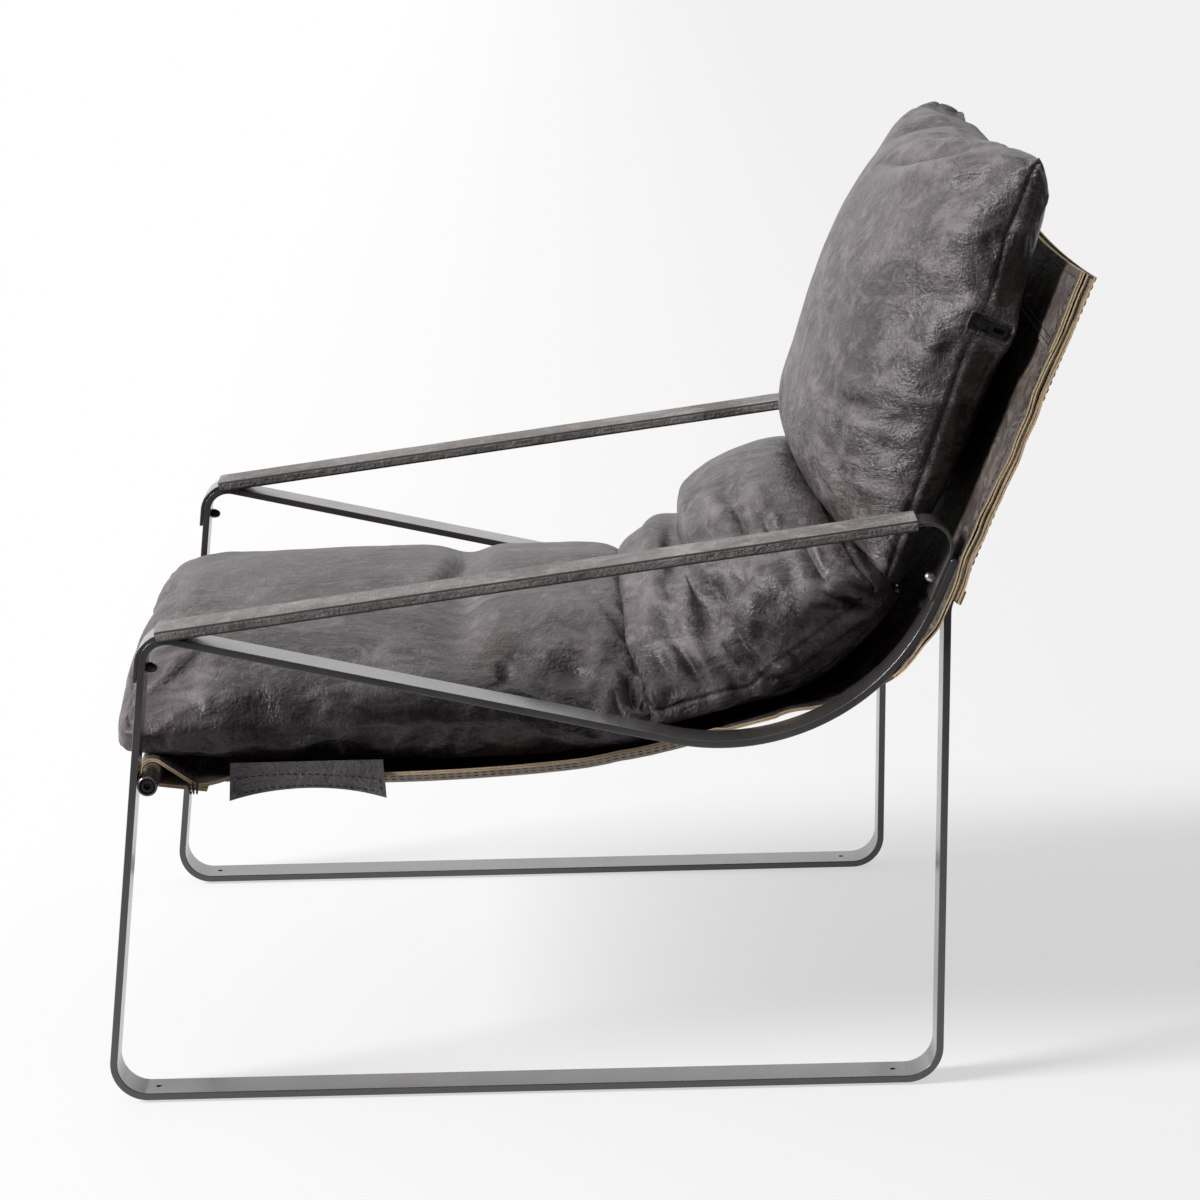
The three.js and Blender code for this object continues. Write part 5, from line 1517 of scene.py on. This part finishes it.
# Presses the cover flat under the zip's tape, which lies on the back cushion's side
zipData = {"ease": 12.0, "clear": 0.25, "lipOut": 4.2, "lipRound": 6.0, "lipWide": 2.6,
           "lipThick": 2.4, "lipCorner": 0.6, "lipEdge": 0.9, "lipProud": 0.2, "halfTall": 0.0056}
zipLow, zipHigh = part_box("zipper_tape")
zipMiddle = (Vector(zipLow) + Vector(zipHigh)) / 2
zipAlong = Vector((0, -backOut.x, -backOut.y))
zipUp = Vector((0, backUp.x, backUp.y))
zipHalfTall = zipData["halfTall"]    # metres
zipHalfLong = ((zipHigh[1] - zipLow[1]) / 2 - zipHalfTall * abs(zipUp.y)) / abs(zipAlong.y)


def flatUnderZip(piece):
    co = readVectors(piece, "co")
    gap = co - np.array(zipMiddle)
    along = np.maximum(0, np.abs(gap @ np.array(zipAlong)) - zipHalfLong)
    upward = np.maximum(0, np.abs(gap @ np.array(zipUp)) - zipHalfTall)
    away = np.hypot(along, upward) * 1000
    share = np.exp(-((np.maximum(0, away - 4) / zipData["ease"]) ** 2)) * (co[:, 0] > 0.2)
    limit = zipLow[0] - zipData["clear"] * 0.001
    side = share * eased(co[:, 0], limit - 0.03, limit - 0.012)
    co[:, 0] += (limit - co[:, 0]) * side
    writePoints(piece, co)


# A corded lip sewn round the zip
def zipLip():
    out = zipData["lipOut"] - zipData["lipThick"] / 2
    rounding = zipData["lipRound"] * zipData["lipCorner"]
    middle = at(zipMiddle.y * 1000 - shiftY, zipMiddle.z * 1000 - shiftZ)
    long = -backOut * (zipHalfLong * 1000 + out)
    tall = backUp * (zipHalfTall * 1000 + out)
    corners = [(middle + long, 0), (middle + long + tall, rounding),
               (middle - long + tall, rounding), (middle - long - tall, rounding),
               (middle + long - tall, rounding), (middle + long, 0)]
    bm = sweptBar(roundedPath(corners, 6, 12 * degree), zipLow[0] * 1000 + zipData["lipProud"],
                  zipData["lipWide"], zipData["lipThick"], zipData["lipEdge"], segments=4)
    return finishMesh(bm, "zipLip", [materials["leather"]], smooth=60)


print("cushions")
cushion("seatCushion", "seat_cushion", seatData, seatShape, seatFolds, endsOnly=True)
cushion("lumbarCushion", "lumbar_cushion", lumbarData, lumbarShape, lumbarFolds)
cushion("backCushion", "back_cushion", pillowData, pillowShape, pillowFolds)
zipLip()

# ---- tabs on the seat cushion's side seams ----
tabData = {"thick": 1.7, "columns": 40, "rows": 14, "arc": 10.5, "rowDrop": 15.0, "inset": 4.2}


def cushionTab(side):
    low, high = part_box("cushion_tab_" + side)
    sign = sides[side]
    middle = (low[0] + high[0]) / 2

    # A point on the tab's outer face: s along it and t down it, from 0 to 1
    def spot(s, t, out=0.0):
        arch = 4 * s * (1 - s)
        height = high[2] - low[2] - tabData["arc"] * 0.001 * arch * (0.4 + 0.6 * t)
        wave = noise.noise(Vector((s * 3.2, t * 1.3, sign))) * 0.0022 * t
        y = low[1] + (high[1] - low[1]) * (s + (s - 0.5) * 0.03 * (t - 0.5))
        half = tabData["thick"] * 0.0005
        return Vector((middle + sign * (wave + half + out), y, high[2] - height * t))

    bm = bmesh.new()
    bmesh.ops.create_grid(bm, x_segments=tabData["columns"], y_segments=tabData["rows"], size=1)
    for vert in bm.verts:
        vert.co = spot((vert.co.x + 1) / 2, (1 - vert.co.y) / 2)
    bmesh.ops.recalc_face_normals(bm, faces=bm.faces)
    if sum(f.normal.x for f in bm.faces) * sign < 0:
        bmesh.ops.reverse_faces(bm, faces=bm.faces)
    bmesh.ops.solidify(bm, geom=bm.faces, thickness=tabData["thick"] * 0.001)
    piece = finishMesh(bm, "cushionTab" + side.capitalize(), [materials["tabLeather"]],
                       smooth=50)
    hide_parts("cushion_tab_" + side)
    inset = tabData["inset"] * 0.001
    wide, tall = high[1] - low[1], high[2] - low[2]
    left, right, foot = inset / wide, 1 - inset / wide, 1 - inset / tall
    head = tabData["rowDrop"] * 0.001 / tall
    steps = np.linspace(left, right, 24)
    top = [spot(s, head - 0.06 * math.sin(s * 5), 0.0003) for s in steps]
    bottom = [spot(s, foot, 0.0003) for s in steps]
    ends = [[spot(s, head + (foot - head) * k / 5, 0.0003) for k in range(6)]
            for s in (left, right)]
    stitches = stitching("tabStitches" + side.capitalize(), [top, bottom, *ends], scale=0.85)


print("tabs")
for side in sides:
    cushionTab(side)

# ---- domed nuts of the arms ----
nutHalf, nutTall = 9.4 / 2, 9.0
nutData = {
    "arm_front_nut_": {"hexTall": 4.6, "domeRadius": 4.1, "finish": "blackSteel",
                       "foot": frontBoltAt + legIn * (barHalf + gap), "axis": legIn},
    "arm_rear_nut_": {"hexTall": 3.4, "domeRadius": 4.5, "finish": "zinc",
                      "foot": rearTailLine - backOut * (stripHalf + gap), "axis": -backOut},
}


# A hexagon with softened corners under a turned dome, pointing from its foot to its head
def domedNut(node, data, foot, axis):
    bm = bmesh.new()
    bmesh.ops.create_cone(bm, cap_ends=True, segments=6, radius1=nutHalf,
                          radius2=nutHalf, depth=data["hexTall"],
                          matrix=Matrix.Translation((0, 0, data["hexTall"] / 2)))
    bmesh.ops.bevel(bm, geom=list(bm.edges), offset=0.5, affect="EDGES", segments=3,
                    profile=0.5, material=-1)
    turn = Vector((0, 0, 1)).rotation_difference(axis).to_matrix().to_4x4()
    bmesh.ops.transform(bm, matrix=Matrix.Translation(foot) @ turn, verts=bm.verts)
    radius = data["domeRadius"]
    start = data["hexTall"] - 0.4
    rise = nutTall - start
    profile = [(0, start - 0.4), (radius, start - 0.4)]
    for k in range(13):
        angle = math.pi / 2 * k / 12
        profile.append((radius * math.cos(angle), start + rise * math.sin(angle)))
    turnedShape(bm, profile, foot, axis, 40)
    toMetres(bm)
    name = node.replace("_", " ").title().replace(" ", "")
    piece = finishMesh(bm, name[0].lower() + name[1:], [materials[data["finish"]]],
                       smooth=35)
    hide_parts(node)


print("nuts")
for side in sides:
    for start, data in nutData.items():
        domedNut(start + side, data, millimetres(sides[side] * sideX, data["foot"]),
                 direction(data["axis"]))

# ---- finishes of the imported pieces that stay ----
packedFinish = {
    "glide": "nylon", "tube_insert": "zinc", "tube_screw": "blackSteel",
    "arm_front_bolt": "blackSteel", "arm_rear_bolt": "blackSteel", "tube_boss": "steel",
    "front_tube": "steel", "back_crossbar": "steel", "zipper_tape": "zipTape",
    "zipper_slider": "zipMetal", "zipper_pull": "zipMetal",
}
for node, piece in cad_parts.items():
    for start, finish in packedFinish.items():
        if node.startswith(start):
            piece.data.materials.clear()
            piece.data.materials.append(materials[finish])

# ---- studio ----
studioData = {
    "floorHalf": 70.0, "floorLeft": 1.0, "floorRight": 0.88, "floorGlow": 0.64,
    "floorShare": 0.92,        # how bright the lit floor is beside its own glow
    "floorBounce": 0.30,       # what it throws back at the chair
    "dimFrom": 0.5, "dimTo": 2.0, "dimShare": 0.10,    # the floor by the camera is out of the light
    "away": 1.0, "front": 0.9, "top": 0.75, "nearSide": 0.09, "softShare": 0.54, "sun": 4.3,
    "sunAngle": 22.0, "sunFrom": (0.29, -1.0, 0.66),
    # painted light on the floor: its colour goes from floorLeft in front of the chair to floorRight
    # behind it, a painted fall-off of light towards the back
    "toneHalf": 0.75,          # metres to either side over which the floor's tone changes
    # where the sky's far, front, top and near parts begin and end, as shares of the direction
    "awayFade": (-0.7, 0.0), "frontFade": (-0.85, 0.0), "topFade": (0.3, 0.95),
    "nearFade": (0.1, 0.6),
}


def studio():
    scene = bpy.context.scene
    scene.view_settings.view_transform = "Standard"
    bm = bmesh.new()
    bmesh.ops.create_grid(bm, x_segments=8, y_segments=8, size=studioData["floorHalf"])
    mesh = meshFrom(bm, "studioFloor")
    linked("studioFloor", mesh)
    material, tree, shader = newMaterial("studioFloor", (0.8, 0.8, 0.8), 1.0, 0.0)
    parts = addNode(tree, "SeparateXYZ", {0: objectPoint(tree)})
    # painted fall-off of light: the floor's colour darkens from in front of the chair to behind it
    share = spread(tree, parts.outputs["Y"], -studioData["toneHalf"], studioData["toneHalf"])
    tone = blendColour(tree, share, (studioData["floorLeft"],) * 3,
                       (studioData["floorRight"],) * 3)
    rays = addNode(tree, "LightPath")
    camera, glossy = rays.outputs["Is Camera Ray"], rays.outputs["Is Glossy Ray"]
    seen = maths(tree, "MAXIMUM", camera,
                 maths(tree, "MAXIMUM", glossy, rays.outputs["Is Transmission Ray"]))
    dim = spread(tree, parts.outputs["X"], studioData["dimFrom"], studioData["dimTo"], 1.0,
                 studioData["dimShare"])
    dim = maths(tree, "MAXIMUM", dim, camera)
    lit = blendColour(tree, 1.0, tone, (studioData["floorShare"],) * 3, "MULTIPLY")
    low = blendColour(tree, 1.0, tone, (studioData["floorBounce"],) * 3, "MULTIPLY")
    lit = blendColour(tree, 1.0, blendColour(tree, seen, low, lit), dim, "MULTIPLY")
    tree.links.new(lit, shader.inputs["Base Color"])
    glow = addNode(tree, "Emission", {"Color": tone, "Strength": dim})
    mix = addNode(tree, "MixShader", {0: maths(tree, "MULTIPLY", seen, studioData["floorGlow"]),
                                      1: shader.outputs[0], 2: glow.outputs[0]})
    output = [n for n in tree.nodes if n.type == "OUTPUT_MATERIAL"][0]
    tree.links.new(mix.outputs[0], output.inputs[0])
    mesh.materials.append(material)

    # A sky that is bright above, in front of the chair and on its far side
    world = bpy.data.worlds.new("studioWorld")
    scene.world = world
    world.use_nodes = True
    tree = world.node_tree
    way = addNode(tree, "TexCoord").outputs["Generated"]
    parts = addNode(tree, "SeparateXYZ", {0: way})
    away = spread(tree, parts.outputs["X"], *studioData["awayFade"], studioData["away"], 0.0)
    front = spread(tree, parts.outputs["Y"], *studioData["frontFade"], studioData["front"], 0.0)
    top = spread(tree, parts.outputs["Z"], *studioData["topFade"], 0.0, studioData["top"])
    level = maths(tree, "MAXIMUM", maths(tree, "MAXIMUM", away, front), top)
    near = spread(tree, parts.outputs["X"], *studioData["nearFade"], 1.0, 0.0)
    level = maths(tree, "MULTIPLY", level, near)
    level = maths(tree, "ADD", level, studioData["nearSide"])
    rays = addNode(tree, "LightPath")
    mirrored = maths(tree, "MAXIMUM", rays.outputs["Is Glossy Ray"],
                     rays.outputs["Is Camera Ray"])
    level = maths(tree, "MULTIPLY", level, spread(tree, mirrored, 0.0, 1.0,
                                                  studioData["softShare"], 1.0))
    background = tree.nodes["Background"]
    tree.links.new(level, background.inputs["Strength"])
    background.inputs["Color"].default_value = (1, 1, 1, 1)

    lamp = bpy.data.lights.new("softSun", "SUN")
    lamp.energy = studioData["sun"]
    lamp.angle = studioData["sunAngle"] * degree
    sun = linked("softSun", lamp)
    sun.matrix_world = Vector(studioData["sunFrom"]).to_track_quat("Z", "Y").to_matrix().to_4x4()


print("studio")
studio()
setCamera()
